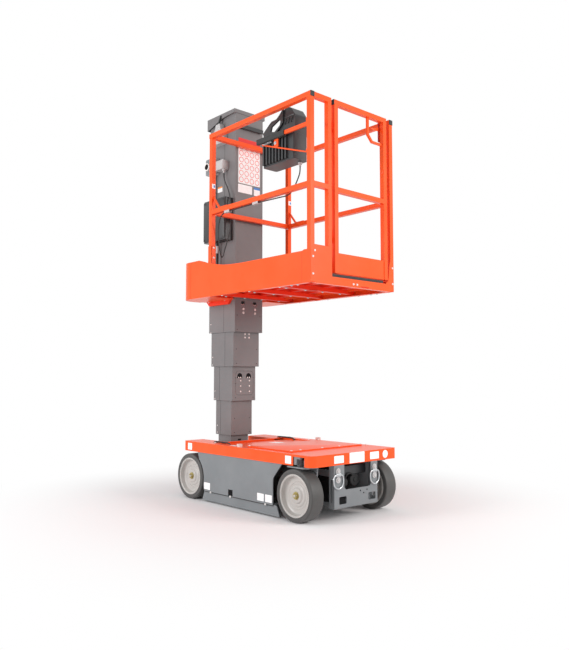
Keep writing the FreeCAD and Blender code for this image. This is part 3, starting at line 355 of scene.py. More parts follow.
# The same coat below the floor, redder because only light from other orange faces reaches it.
UNDER_COAT = Finish("orange_powder_coat_below_the_floor", "#FA3818", "#F63E20", drift_mm=260,
                    grain_mm=2.2, rough=0.4, edge_mm=1.6, shine=0.3)
# The same coat where no light falls on it, in the joints between folded sheets.
SHADED_COAT = Finish("orange_powder_coat_in_a_shadowed_joint", "#D8361A", "#CE3016", drift_mm=60,
                     grain_mm=2.0, rough=0.6, edge_mm=0, shine=0.2)
# The orange coat on the latch, painted deep red as the shade that it lies in.
LATCH_SHADE_COAT = Finish("deep_red_powder_coat_on_steel", "#B4161A", "#A31216", drift_mm=60,
                    grain_mm=2.0, relief_mm=0.03, rough=0.45, edge="#D8413C", edge_mm=0.8)
# Grey powder coat of the chassis: satin, with a painted highlight on its edges.
GREY_COAT = Finish("grey_powder_coat_on_steel", "#85898C", "#7D8184", drift_mm=220,
                   grain_mm=2.4, relief_mm=0.03, rough=0.42, edge="#9EA2A5", edge_mm=1.4)
# Powder-coated extrusion: drawn faces, so the grain is long along Z; its faint warm tint is a
# painted reflection of the orange platform.
MAST_COAT = Finish("grey_powder_coat_on_drawn_mast", "#7C797A", "#747172", drift_mm=300,
                   grain_mm=2.5, rough=0.4, edge="#9C999A", edge_mm=1.6, stretch=(1, 1, 0.12))
# The joint between two folded sheets of the mast: the same coat in shadow.
JOINT = Finish("shadowed_joint_between_mast_sheets", "#4B4A4B", "#434243", drift_mm=60,
               grain_mm=2.0, rough=0.7, edge_mm=0, shine=0.1)
# Cushion tyre: pressed polyurethane-filled rubber, dull, with faint moulding grain.
TYRE = Finish("moulded_grey_tyre_rubber", "#4A4948", "#504F4E", drift_mm=60, grain_mm=1.8,
              relief_mm=0.06, rough=0.5, edge="#626160", edge_mm=1.0, glow=0.1)
# Spun steel rim with light grey enamel: glossier, drawn rings come from the shape, and a strong
# painted highlight on its lip and edges.
RIM = Finish("light_grey_enamel_on_spun_steel", "#C2BEBA", "#B9B5B1", drift_mm=90, grain_mm=1.6,
             rough=0.32, edge="#F4F0EA", edge_mm=1.6, edge_share=0.8, coat=0.2)
# Zinc-plated steel: bright, cool, with fine drawing marks.
ZINC = Finish("zinc_plated_steel", "#D2D4D6", "#BDC0C3", drift_mm=14, grain_mm=0.9, rough=0.3,
              metal=1.0, edge_mm=0.4)
# White nylon caps over screw heads: matt, slightly warm.
SCREW_CAP = Finish("white_nylon_screw_cap", "#F0EAE6", "#E4DEDA", drift_mm=10, grain_mm=0.8,
                   rough=0.5, edge_mm=0.5)
# Small oxide-black screws on the mast.
DARK_SCREW = Finish("oxide_black_steel_screw", "#4A4142", "#3E3637", drift_mm=10, grain_mm=0.7,
                    rough=0.5, metal=0.6, edge_mm=0)
# Yellow-passivated axle nut.
BRASS = Finish("yellow_passivated_steel_nut", "#C2B37A", "#A8995F", drift_mm=12, grain_mm=0.8,
               rough=0.36, metal=0.7, edge="#E6DDB4", edge_mm=0.6)
# Injection-moulded black ABS with a fine spark-eroded texture.
BLACK_PLASTIC = Finish("textured_black_moulded_plastic", "#2B2C2E", "#323335", drift_mm=80,
                       grain_mm=1.3, relief_mm=0.03, rough=0.34, edge="#5A5B5D", edge_mm=1.6,
                       edge_share=0.7, shine=0.5)
# Light grey moulded ABS of the switch boxes and cable glands.
PALE_PLASTIC = Finish("light_grey_moulded_plastic", "#C6C4C4", "#BCBABA", drift_mm=60,
                      grain_mm=1.4, relief_mm=0.05, rough=0.5, edge="#DEDCDC", edge_mm=0.8)
# Off-white polyethylene wear pads.
WEAR_PAD = Finish("machined_polyethylene_pad", "#E3C9C2", "#D8BCB5", drift_mm=20, grain_mm=1.2,
                  relief_mm=0.05, rough=0.55, edge_mm=0.8)
# Matt EPDM: sill strip, tube plugs and grips.
BLACK_RUBBER = Finish("matt_black_moulded_rubber", "#2C2D2D", "#343535", drift_mm=40,
                      grain_mm=1.2, relief_mm=0.08, rough=0.7, edge="#545555", edge_mm=0.8,
                      glow=0.1)
# PVC jacket of the control cable: slightly glossy.
CABLE_JACKET = Finish("black_pvc_cable_jacket", "#2D2C2C", "#353434", drift_mm=20, grain_mm=1.0,
                      relief_mm=0.04, rough=0.45, edge_mm=0)
# Dark casing of the batteries, in the closed chassis.
BATTERY_CASE = Finish("black_battery_casing", "#202021", "#29292A", drift_mm=60, grain_mm=2,
                      relief_mm=0.06, rough=0.6, edge_mm=1.0)


def film(kind: str, colour: str, shade: str) -> Finish:
    """Printed vinyl with nothing on it: a flat film with a soft gloss."""
    return Finish(f"{kind}_vinyl_film", colour, shade, drift_mm=25, grain_mm=1.0, relief_mm=0.01,
                  edge_mm=0)


LABEL = film("blank_white", "#FFFFFF", "#FAF8F8")
LABEL_RED = film("blank_red", "#EE2E2A", "#E62824")
LABEL_LINE = film("red_rule_on", "#EA5A54", "#E6524C")
LABEL_BLUE = film("blank_blue", "#4E86D0", "#477EC8")
LABEL_ORANGE = film("blank_orange", "#F0903A", "#EA8832")
# Painted shade: flat dark sheets for the dark inside of slots and holes.
SHADE = Finish("painted_shade_inside_of_openings", "#1B1B1C", "#212122", drift_mm=30, grain_mm=2,
               rough=0.9, edge_mm=0, shine=0.1)

NODE_FINISH: dict[str, Finish] = {
    "frame_grey": GREY_COAT, "machine_orange": ORANGE_COAT, "mast_grey": MAST_COAT,
    "tyre_rubber": TYRE, "rim_paint": RIM, "pad_white": WEAR_PAD, "zinc_steel": ZINC,
    "battery_black": BATTERY_CASE, "box_plastic": BLACK_PLASTIC, "switch_plastic": PALE_PLASTIC,
    "black_rubber": BLACK_RUBBER,
}
SPECIAL_FINISH = {"platform_floor": PUNCHED_FLOOR, "gate_latch": LATCH_SHADE_COAT,
                  "floor_frame": UNDER_COAT, "carriage": UNDER_COAT}


# ---------------------------------------------------------------- mesh making


class Form:
    """Collects closed shapes in one mesh. Sizes are in millimetres."""

    def __init__(self) -> None:
        """Start with an empty mesh."""
        self.mesh = bmesh.new()

    def skin(self, rings: list[list[Vector]], looped: bool = False, capped: bool = True) -> None:
        """Join rings of points to a closed skin.

        Args:
            rings: Rings with the same count of points, in order.
            looped: Whether the last ring joins the first.
            capped: Whether the end rings are closed.
        """
        made = [[self.mesh.verts.new(p * MM) for p in ring] for ring in rings]
        count = len(made[0])
        faces = []
        pairs = list(zip(made, made[1:])) + ([(made[-1], made[0])] if looped else [])
        for one, two in pairs:
            for i in range(count):
                j = (i + 1) % count
                faces.append(self.mesh.faces.new((one[i], one[j], two[j], two[i])))
        if capped and not looped:
            faces.append(self.mesh.faces.new(list(reversed(made[0]))))
            faces.append(self.mesh.faces.new(made[-1]))
        bmesh.ops.recalc_face_normals(self.mesh, faces=faces)

    def prism(self, outline: Outline, way: Way, span: tuple[float, float],
              soft: float = 0.0, steps: int = 2) -> None:
        """Draw an outline out along one axis, with all edges softened.

        Args:
            outline: Corners in the other two axes, in X, Y, Z order.
            way: The axis it is drawn along.
            span: From and to along that axis.
            soft: Radius of the softened edges.
            steps: Segments of that radius.
        """
        before = set(self.mesh.verts)
        self.skin([[spot_on(way, a, b, c) for a, b in outline] for c in span])
        if soft:
            fresh = {v for v in self.mesh.verts if v not in before}
            edges = [e for e in self.mesh.edges if e.verts[0] in fresh and e.verts[1] in fresh]
            bmesh.ops.bevel(self.mesh, geom=edges, offset=soft * MM, segments=steps,
                            affect="EDGES", profile=0.5, clamp_overlap=True)

    def box(self, low: Place, high: Place, soft: float = 0.0, steps: int = 2) -> None:
        """Add a softened block between two corners."""
        (x0, y0, z0), (x1, y1, z1) = low, high
        self.prism([(x0, y0), (x1, y0), (x1, y1), (x0, y1)], Way.Z, (z0, z1), soft, steps)

    def lathe(self, profile: Outline, centre: Place, way: Way, steps: int = 64,
              closed: bool = False) -> None:
        """Turn a profile about an axis.

        Args:
            profile: Corners as (place along the axis, radius).
            centre: A point on the axis.
            way: The axis.
            steps: Segments round the axis.
            closed: Whether the profile is a ring's section; else its ends close on the axis.
        """
        turn = [2 * math.pi * i / steps for i in range(steps)]
        first, second = [(1, 2), (2, 0), (0, 1)][way.value]
        rings = []
        for along, radius in profile:
            ring = []
            for angle in turn:
                spot = Vector(centre)
                spot[way.value] += along
                spot[first] += radius * math.cos(angle)
                spot[second] += radius * math.sin(angle)
                ring.append(spot)
            rings.append(ring)
        self.skin(rings, looped=closed)

    def rod(self, start: Place, end: Place, radius: float, steps: int = 16,
            dome: float = 0.0) -> None:
        """Add a round bar between two points.

        Args:
            start: Middle of the near end.
            end: Middle of the far end.
            radius: Radius of the bar.
            steps: Segments round the bar.
            dome: Height of the far end's dome, nought for a flat end.
        """
        a, b = Vector(start), Vector(end)
        pull = (b - a).normalized()
        side = pull.orthogonal().normalized()
        up = pull.cross(side)
        tips = [(a, radius * 0.9), (a + pull * radius * 0.1, radius)]
        if dome:
            tips += [(b - pull * dome, radius), (b - pull * dome * 0.35, radius * 0.8),
                     (b, radius * 0.35)]
        else:
            tips += [(b - pull * radius * 0.1, radius), (b, radius * 0.9)]
        self.skin([circle(c, side, up, r, steps) for c, r in tips])

    def bent(self, points: list[Place], radius: float, closed: bool = False, steps: int = 12,
             spread: int = 8) -> None:
        """Add a round wire that follows points on a smooth line.

        Args:
            points: Control points.
            radius: Radius of the wire.
            closed: Whether it joins up.
            steps: Segments round the wire.
            spread: Steps between two points.
        """
        spots = [Vector(p) for p in points]
        count = len(spots)
        line = []
        for i in range(count if closed else count - 1):
            p0 = spots[i - 1] if closed or i else spots[0]
            p1, p2 = spots[i], spots[(i + 1) % count]
            p3 = spots[(i + 2) % count] if closed or i + 2 < count else spots[-1]
            for k in range(spread):
                t = k / spread
                line.append(0.5 * (2 * p1 + (p2 - p0) * t + (2 * p0 - 5 * p1 + 4 * p2 - p3) * t * t
                                   + (3 * p1 - p0 - 3 * p2 + p3) * t ** 3))
        if not closed:
            line.append(spots[-1])
        rings = []
        side = (line[1] - line[0]).orthogonal().normalized()
        for i, spot in enumerate(line):
            ahead = line[(i + 1) % len(line)] if closed or i + 1 < len(line) else spot
            behind = line[i - 1] if closed or i else spot
            pull = (ahead - behind).normalized()
            side = (side - pull * side.dot(pull)).normalized()
            rings.append(circle(spot, side, pull.cross(side), radius, steps))
        self.skin(rings, looped=closed)

    def frame(self, low: tuple[float, float], high: tuple[float, float], radius: float,
              width: float, way: Way, span: tuple[float, float]) -> None:
        """Add a thin frame: a band round a rectangle with round corners.

        Args:
            low: Lower outer corner in the other two axes, in X, Y, Z order.
            high: Upper outer corner.
            radius: Outer corner radius.
            width: Width of the band.
            way: The axis that it is thin along.
            span: From and to along that axis.
        """
        outer = rounded(low, high, radius)
        inner = rounded((low[0] + width, low[1] + width), (high[0] - width, high[1] - width),
                        max(radius - width, 0.5))
        near, far = span
        self.skin([[spot_on(way, a, b, near), spot_on(way, a, b, far), spot_on(way, c, e, far),
                    spot_on(way, c, e, near)] for (a, b), (c, e) in zip(outer, inner)],
                  looped=True)

    def plate(self, way: Way, face: float, low: tuple[float, float], high: tuple[float, float],
              radius: float, thick: float = 0.5, out: int = 1) -> None:
        """Add a thin plate with round corners on a face.

        Args:
            way: The axis that the face looks along.
            face: The face's place on that axis.
            low: Lower corner in the other two axes, in X, Y, Z order.
            high: Upper corner.
            radius: Corner radius.
            thick: How far it stands out.
            out: Which way is out, 1 or -1.
        """
        self.prism(rounded(low, high, radius), way, across(1, face - out * SUNK,
                                                           face + out * thick))

    def piece(self, name: str, finish: Finish, body: Body, slot: Slot) -> bpy.types.Object:
        """Turn the collected shapes into a piece.

        Args:
            name: The piece's name.
            finish: Its finish.
            body: The body that carries it.
            slot: The record's material slot; not used.

        Returns:
            The piece's object.
        """
        made = add_object(name, bpy.data.meshes.new(name))
        self.mesh.to_mesh(made.data)
        self.mesh.free()
        return settle(made, finish, body)


def settle(made: bpy.types.Object, finish: Finish, body: Body) -> bpy.types.Object:
    """Shade a finished piece, give it its finish and set it on its body.

    Args:
        made: A mesh object at the origin.
        finish: Its finish.
        body: The body that carries it.

    Returns:
        The same object.
    """
    work = bmesh.new()
    work.from_mesh(made.data)
    for face in work.faces:
        face.smooth = True
    for edge in work.edges:
        edge.smooth = len(edge.link_faces) == 2 and edge.calc_face_angle(0.0) < SMOOTH_BELOW
    work.to_mesh(made.data)
    work.free()
    made.data.materials.clear()
    made.data.materials.append(finish.material())
    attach(made, body.value)
    log.info("%s: %d faces on %s", made.name, len(made.data.polygons), body.value)
    return made


def spot_on(way: Way, a: float, b: float, along: float) -> Vector:
    """Give a point from its place along an axis and its other two coordinates.

    Args:
        way: The axis.
        a: The first of the other two coordinates, in X, Y, Z order.
        b: The second of them.
        along: The place along the axis.

    Returns:
        The point.
    """
    spots = [a, b]
    spots.insert(way.value, along)
    return Vector(spots)


def circle(centre: Vector, side: Vector, up: Vector, radius: float, steps: int) -> list[Vector]:
    """Points of a circle in the plane of two unit vectors."""
    return [centre + (side * math.cos(t) + up * math.sin(t)) * radius
            for t in (2 * math.pi * i / steps for i in range(steps))]


def arc(centre: tuple[float, float], radius: float, start: float, end: float,
        steps: int = 6) -> Outline:
    """Give the points of an arc.

    Args:
        centre: Its middle.
        radius: Its radius.
        start: Angle where it starts, in degrees.
        end: Angle where it ends.
        steps: Its segments.

    Returns:
        One point more than there are segments.
    """
    return [(centre[0] + radius * math.cos(math.radians(start + (end - start) * i / steps)),
             centre[1] + radius * math.sin(math.radians(start + (end - start) * i / steps)))
            for i in range(steps + 1)]


def rounded(low: tuple[float, float], high: tuple[float, float], radius: float,
            steps: int = 4) -> Outline:
    """Give the outline of a rectangle with round corners.

    Args:
        low: Lower corner.
        high: Upper corner.
        radius: Corner radius.
        steps: Segments of each corner.

    Returns:
        The outline's points.
    """
    (a0, b0), (a1, b1) = low, high
    r = radius
    return (arc((a1 - r, b0 + r), r, -90, 0, steps) + arc((a1 - r, b1 - r), r, 0, 90, steps)
            + arc((a0 + r, b1 - r), r, 90, 180, steps) + arc((a0 + r, b0 + r), r, 180, 270, steps))


# ---------------------------------------------------------------- repeated things


class Head(Enum):
    """Kinds of fastener head: sides of the head, and whether a washer lies under it."""

    HEX = (6, True)
    BUTTON = (14, False)
    PLAIN = (16, True)


@dataclass
class Fasteners:
    """Screws and bolts of one kind, set by Geometry Nodes on marked points.

    Attributes:
        name: The piece's name.
        spots: Places and the way each head faces.
        radius: Head radius.
        height: Head height.
        head: Kind of head.
        crown: Top radius, as a share of the head's radius.
        washer_width: Washer radius, as a share of the head's radius.
        washer_height: Washer thickness, as a share of the head's height.
    """

    name: str
    spots: list[tuple[Place, Place]]
    radius: float = 6
    height: float = 4
    head: Head = Head.BUTTON
    crown: ClassVar[float] = 0.72
    washer_width: ClassVar[float] = 1.45
    washer_height: ClassVar[float] = 0.25

    def tree(self) -> bpy.types.NodeTree:
        """Build the tree that puts one head on each point.

        Returns:
            The new tree, or the one for this kind of head that is there already.
        """
        sides, washer = self.head.value
        name = f"heads_{self.head.name.lower()}"
        known = bpy.data.node_groups.get(name)
        if known:
            return known
        tree = bpy.data.node_groups.new(name, "GeometryNodeTree")
        for label, flow, kind in (
                ("Geometry", "INPUT", "Geometry"), ("Head Radius", "INPUT", "Float"),
                ("Head Height", "INPUT", "Float"), ("Finish", "INPUT", "Material"),
                ("Geometry", "OUTPUT", "Geometry")):
            tree.interface.new_socket(label, in_out=flow, socket_type=f"NodeSocket{kind}")
        given = add_node(tree, "NodeGroupInput").outputs

        wide, tall = given["Head Radius"], given["Head Height"]
        parts = [add_node(tree, "GeometryNodeMeshCone", {"Vertices": sides},
                          {"Radius Top": reckon(tree, "MULTIPLY", wide, self.crown),
                           "Radius Bottom": wide, "Depth": tall}).outputs["Mesh"]]
        if washer:
            parts.append(add_node(tree, "GeometryNodeMeshCylinder", {"Vertices": 20},
                                  {"Radius": reckon(tree, "MULTIPLY", wide, self.washer_width),
                                   "Depth": reckon(tree, "MULTIPLY", tall, self.washer_height)}
                                  ).outputs["Mesh"])
        joined = add_node(tree, "GeometryNodeJoinGeometry")
        for part in parts:
            tree.links.new(part, joined.inputs[0])
        facing = add_node(tree, "GeometryNodeInputNamedAttribute",
                          {"data_type": "FLOAT_VECTOR", "Name": "facing"}).outputs[0]
        turn = add_node(tree, "FunctionNodeAlignRotationToVector", {"axis": "Z"},
                        {"Vector": facing}).outputs[0]
        set_out = add_node(tree, "GeometryNodeInstanceOnPoints", {},
                           {"Points": given["Geometry"], "Instance": joined.outputs[0],
                            "Rotation": turn})
        real = add_node(tree, "GeometryNodeRealizeInstances", {}, {0: set_out.outputs[0]})
        dressed = add_node(tree, "GeometryNodeSetMaterial", {},
                           {"Geometry": real.outputs[0], "Material": given["Finish"]})
        add_node(tree, "NodeGroupOutput", {}, {0: dressed.outputs[0]})
        return tree

    def build(self, finish: Finish, body: Body, slot: Slot = Slot.ZINC) -> bpy.types.Object:
        """Make the heads as one plain mesh.

        Args:
            finish: Their finish.
            body: The body that carries them.
            slot: The record's material slot; not used.

        Returns:
            The piece's object.
        """
        dots = bpy.data.meshes.new(self.name + "_dots")
        dots.from_pydata([Vector(p) * MM for p, _ in self.spots], [], [])
        marks = dots.attributes.new("facing", "FLOAT_VECTOR", "POINT")
        marks.data.foreach_set("vector", [c for _, way in self.spots for c in way])
        maker = add_object(self.name, dots)
        step = maker.modifiers.new("heads", "NODES")
        step.node_group = self.tree()
        sizes = {"Head Radius": self.radius * MM, "Head Height": self.height * MM,
                 "Finish": finish.material()}
        for socket in step.node_group.interface.items_tree:
            if socket.in_out == "INPUT" and socket.name in sizes:
                step[socket.identifier] = sizes[socket.name]
        return plain(maker, finish, body)


def plain(maker: bpy.types.Object, finish: Finish, body: Body) -> bpy.types.Object:
    """Turn a Geometry Nodes maker into a plain mesh piece of the same name.

    Args:
        maker: The object with the modifier.
        finish: The piece's finish.
        body: The body that carries it.

    Returns:
        The same object, with the evaluated mesh and no modifier.
    """
    bpy.context.view_layer.update()
    seen = maker.evaluated_get(bpy.context.evaluated_depsgraph_get())
    mesh = bpy.data.meshes.new_from_object(seen)
    name = maker.name
    maker.modifiers.clear()
    old = maker.data
    maker.data = mesh
    bpy.data.meshes.remove(old)
    maker.name = name
    return settle(maker, finish, body)


# ---------------------------------------------------------------- studio


@dataclass
class Studio:
    """Camera, floor, lights and world, set to the photograph's view.

    Attributes:
        eye: Camera place in metres.
        forward: Direction that the camera looks in.
        lens: Focal length for a 36 mm wide sensor.
        near: Distance from the middle where the floor starts to fade to white, in metres.
        far: Distance where it is white.
        aim: Where the lamps point.
    """

    eye: Place = (3.601, -3.184, 0.878)
    forward: Place = (-0.74387, 0.66438, 0.07192)
    lens: float = 38.09
    near: float = 0.9
    far: float = 2.3
    aim: Place = (0, 0, 1.1)

    def camera(self) -> None:
        """Make the camera that the photograph was solved for."""
        data = bpy.data.cameras.new("camera")
        data.sensor_fit = "AUTO"
        data.sensor_width = 36
        data.lens = self.lens
        data.clip_end = 60
        made = add_object("camera", data)
        made.location = self.eye
        made.rotation_euler = Vector(self.forward).to_track_quat("-Z", "Y").to_euler()
        bpy.context.scene.camera = made

    def floor(self) -> None:
        """A plain pale floor that keeps the object's shadow."""
        form = bmesh.new()
        bmesh.ops.create_grid(form, x_segments=1, y_segments=1, size=30)
        mesh = bpy.data.meshes.new("floor")
        form.to_mesh(mesh)
        form.free()
        mesh.materials.append(self.paper())
        add_object("floor", mesh)

    @staticmethod
    def seen(tree: bpy.types.NodeTree) -> bpy.types.NodeSocket:
        """One where the camera looks straight or by a mirror-like reflection, else nought."""
        path = add_node(tree, "ShaderNodeLightPath").outputs
        return reckon(tree, "MAXIMUM", path["Is Camera Ray"], path["Is Glossy Ray"])

    def paper(self) -> bpy.types.Material:
        """Build the floor's material.

        Returns:
            Matt white paper that the camera sees as plain white away from the object.
        """
        stuff = bpy.data.materials.new("white_studio_paper")
        stuff.use_nodes = True
        tree = stuff.node_tree
        shader = tree.nodes["Principled BSDF"]
        shader.inputs["Base Color"].default_value = linear("#FAF8F9")
        shader.inputs["Roughness"].default_value = 0.95
        shader.inputs["Specular IOR Level"].default_value = 0.0
        where = add_node(tree, "ShaderNodeTexCoord").outputs["Object"]
        fade = remap(tree, reckon(tree, "LENGTH", where, vector=True), self.near, self.far,
                     interpolation_type="SMOOTHSTEP")
        share = reckon(tree, "MULTIPLY", fade, self.seen(tree))
        white = add_node(tree, "ShaderNodeEmission", {"Color": linear("#FFFFFF")}).outputs[0]
        mixed = add_node(tree, "ShaderNodeMixShader", {}, {0: share, 1: shader.outputs[0],
                                                           2: white}).outputs[0]
        tree.links.new(mixed, tree.nodes["Material Output"].inputs["Surface"])
        return stuff

    def lamps(self) -> None:
        """Two soft lamps, left and right of the camera, as the photograph's two shadows show."""
        for name, place, size, power, colour in (
            ("key", (-1.6, -5.6, 2.1), 2.6, 168, "#FFFFFF"),
            ("fill", (5.1, 2.0, 2.8), 2.6, 165, "#FFFBF8"),
        ):
            data = bpy.data.lights.new(name, "AREA")
            data.shape = "DISK"
            data.size = size
            data.energy = power
            data.color = linear(colour)[:3]
            made = add_object(name, data)
            made.location = place
            aim = Vector(self.aim) - Vector(place)
            made.rotation_euler = aim.to_track_quat("-Z", "Y").to_euler()

    def sky(self) -> None:
        """White surround for the camera and for reflections, softer as a light."""
        world = bpy.data.worlds.new("studio")
        bpy.context.scene.world = world
        world.use_nodes = True
        tree = world.node_tree
        shade = tree.nodes["Background"]
        shade.inputs["Color"].default_value = linear("#FFFFFF")
        tree.links.new(remap(tree, self.seen(tree), low=0.62), shade.inputs["Strength"])

    def build(self) -> None:
        """Set up the whole studio."""
        for make in (self.camera, self.floor, self.lamps, self.sky):
            make()
        bpy.context.scene.view_settings.view_transform = "Standard"


# ---------------------------------------------------------------- running gear


@dataclass
class Wheel:
    """One wheel: tyre, dished rim and axle nut.

    Attributes:
        end: front or rear.
        side: left or right.
        axle_x: Axle place along X.
        track: Half the track.
        radius: Tyre radius.
        seat: Rim seat radius.
        half: Half the tyre's width.
    """

    end: str
    side: str
    axle_x: float
    track: float = 331.5
    radius: float = 158
    seat: float = 128
    half: float = 48.5

    @property
    def hand(self) -> int:
        """Which way is out."""
        return SIDES[self.side]

    @property
    def body(self) -> Body:
        """The wheel's body."""
        return Body(f"{self.end}_wheel_{self.side}")

    @property
    def centre(self) -> Place:
        """The wheel's middle."""
        return (self.axle_x, self.hand * self.track, self.radius)

    def outward(self, profile: Outline) -> Outline:
        """Turn a profile so that its first coordinate runs outwards."""
        return [(self.hand * along, radius) for along, radius in profile]

    def tyre(self) -> None:
        """Smooth press-on tyre with rounded shoulders and a moulded sidewall line."""
        h, r, s = self.half, self.radius, self.seat
        edge = [(h - 1.0, s), (h, s + 1.5), (h, s + 9), (h - 0.9, s + 9.8), (h - 0.9, s + 11.0),
                (h, s + 11.8), (h, r - 9)]
        edge += [(h - 9 + 9 * math.cos(t), r - 9 + 9 * math.sin(t))
                 for t in (math.radians(a) for a in (15, 32, 50, 68, 90))]
        profile = edge + [(h * 0.4, r), (0, r), (-h * 0.4, r)] + \
            [(-a, b) for a, b in reversed(edge)]
        form = Form()
        form.lathe(self.outward(profile), self.centre, Way.Y, 112, closed=True)
        made = form.piece(f"tyre_{self.end}_{self.side}", TYRE, self.body, Slot.TYRE)
        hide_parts(f"{self.end}_tyre_{self.side}")

    def rim(self) -> None:
        """Spun rim: outer lip with a painted edge highlight, stepped dish, raised hub and a hollow
        back.
        """
        h, s = self.half, self.seat
        face = [(-h, s - 0.1), (h - 1.2, s - 0.1), (h, s - 1.2), (h, s - 4.5), (h - 2.2, s - 5.8),
                (h - 2.4, s - 8.0), (h - 1.0, s - 9.2), (h - 2.6, s - 11.5), (h - 21, s - 14.5),
                (h - 29, s - 18.5), (h - 32.6, s - 25), (h - 33.4, s - 33), (h - 33.4, s - 45),
                (h - 30.8, s - 47), (h - 30.8, s - 50), (h - 33.4, s - 52), (h - 33.6, 69),
                (h - 31.0, 65.5), (h - 28.4, 62), (h - 27.4, 58), (h - 27.4, 49), (h - 24.0, 46),
                (h - 20.4, 42), (h - 18.4, 39), (h - 18.0, 24.3), (4.3 - h, 24.3), (4.3 - h, 42),
                (h - 39, 50), (h - 39, 100), (-h, 118)]
        form = Form()
        form.lathe(self.outward(face), self.centre, Way.Y, 112, closed=True)
        made = form.piece(f"rim_{self.end}_{self.side}", RIM, self.body, Slot.RIM)
        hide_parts(f"{self.end}_rim_{self.side}")

    def nut(self) -> None:
        """Castle nut, washer, split pin and the spindle's end."""
        x, y, z = self.centre
        out = float(self.hand)
        base = y + out * (self.half - 18)
        form = Form()
        form.lathe([(0, 0.1), (0, 23.5), (out * 2.2, 23.5), (out * 3, 22.5), (out * 3, 0.1)],
                   (x, base, z), Way.Y, 40)
        form.prism(arc((x, z), 20, 0, 300, 5), Way.Y, across(1, base + out * 3, base + out * 11),
                   0.9, 1)
        for tip, turn in zip(arc((x, z), 12, 30, 330, 5), range(30, 390, 60)):
            form.prism(arc(tip, 4.4, turn + 45, turn + 315, 3), Way.Y,
                       across(1, base + out * 11, base + out * 16), 0.5, 1)
        form.piece(f"axle_nut_{self.end}_{self.side}", BRASS, self.body, Slot.ZINC)
        form = Form()
        form.rod((x, base + out * 10, z), (x, base + out * 17, z), 8.6, 20, dome=1.4)
        form.bent([(x - 17, base + out * 13.5, z - 5), (x, base + out * 13.5, z),
                   (x + 16, base + out * 13.5, z + 5), (x + 19, base + out * 10, z + 6)], 1.4)
        form.piece(f"spindle_end_{self.end}_{self.side}", RIM, self.body, Slot.ZINC)

    def build(self) -> None:
        """Make the wheel."""
        self.tyre()
        self.rim()
        self.nut()


# ---------------------------------------------------------------- chassis


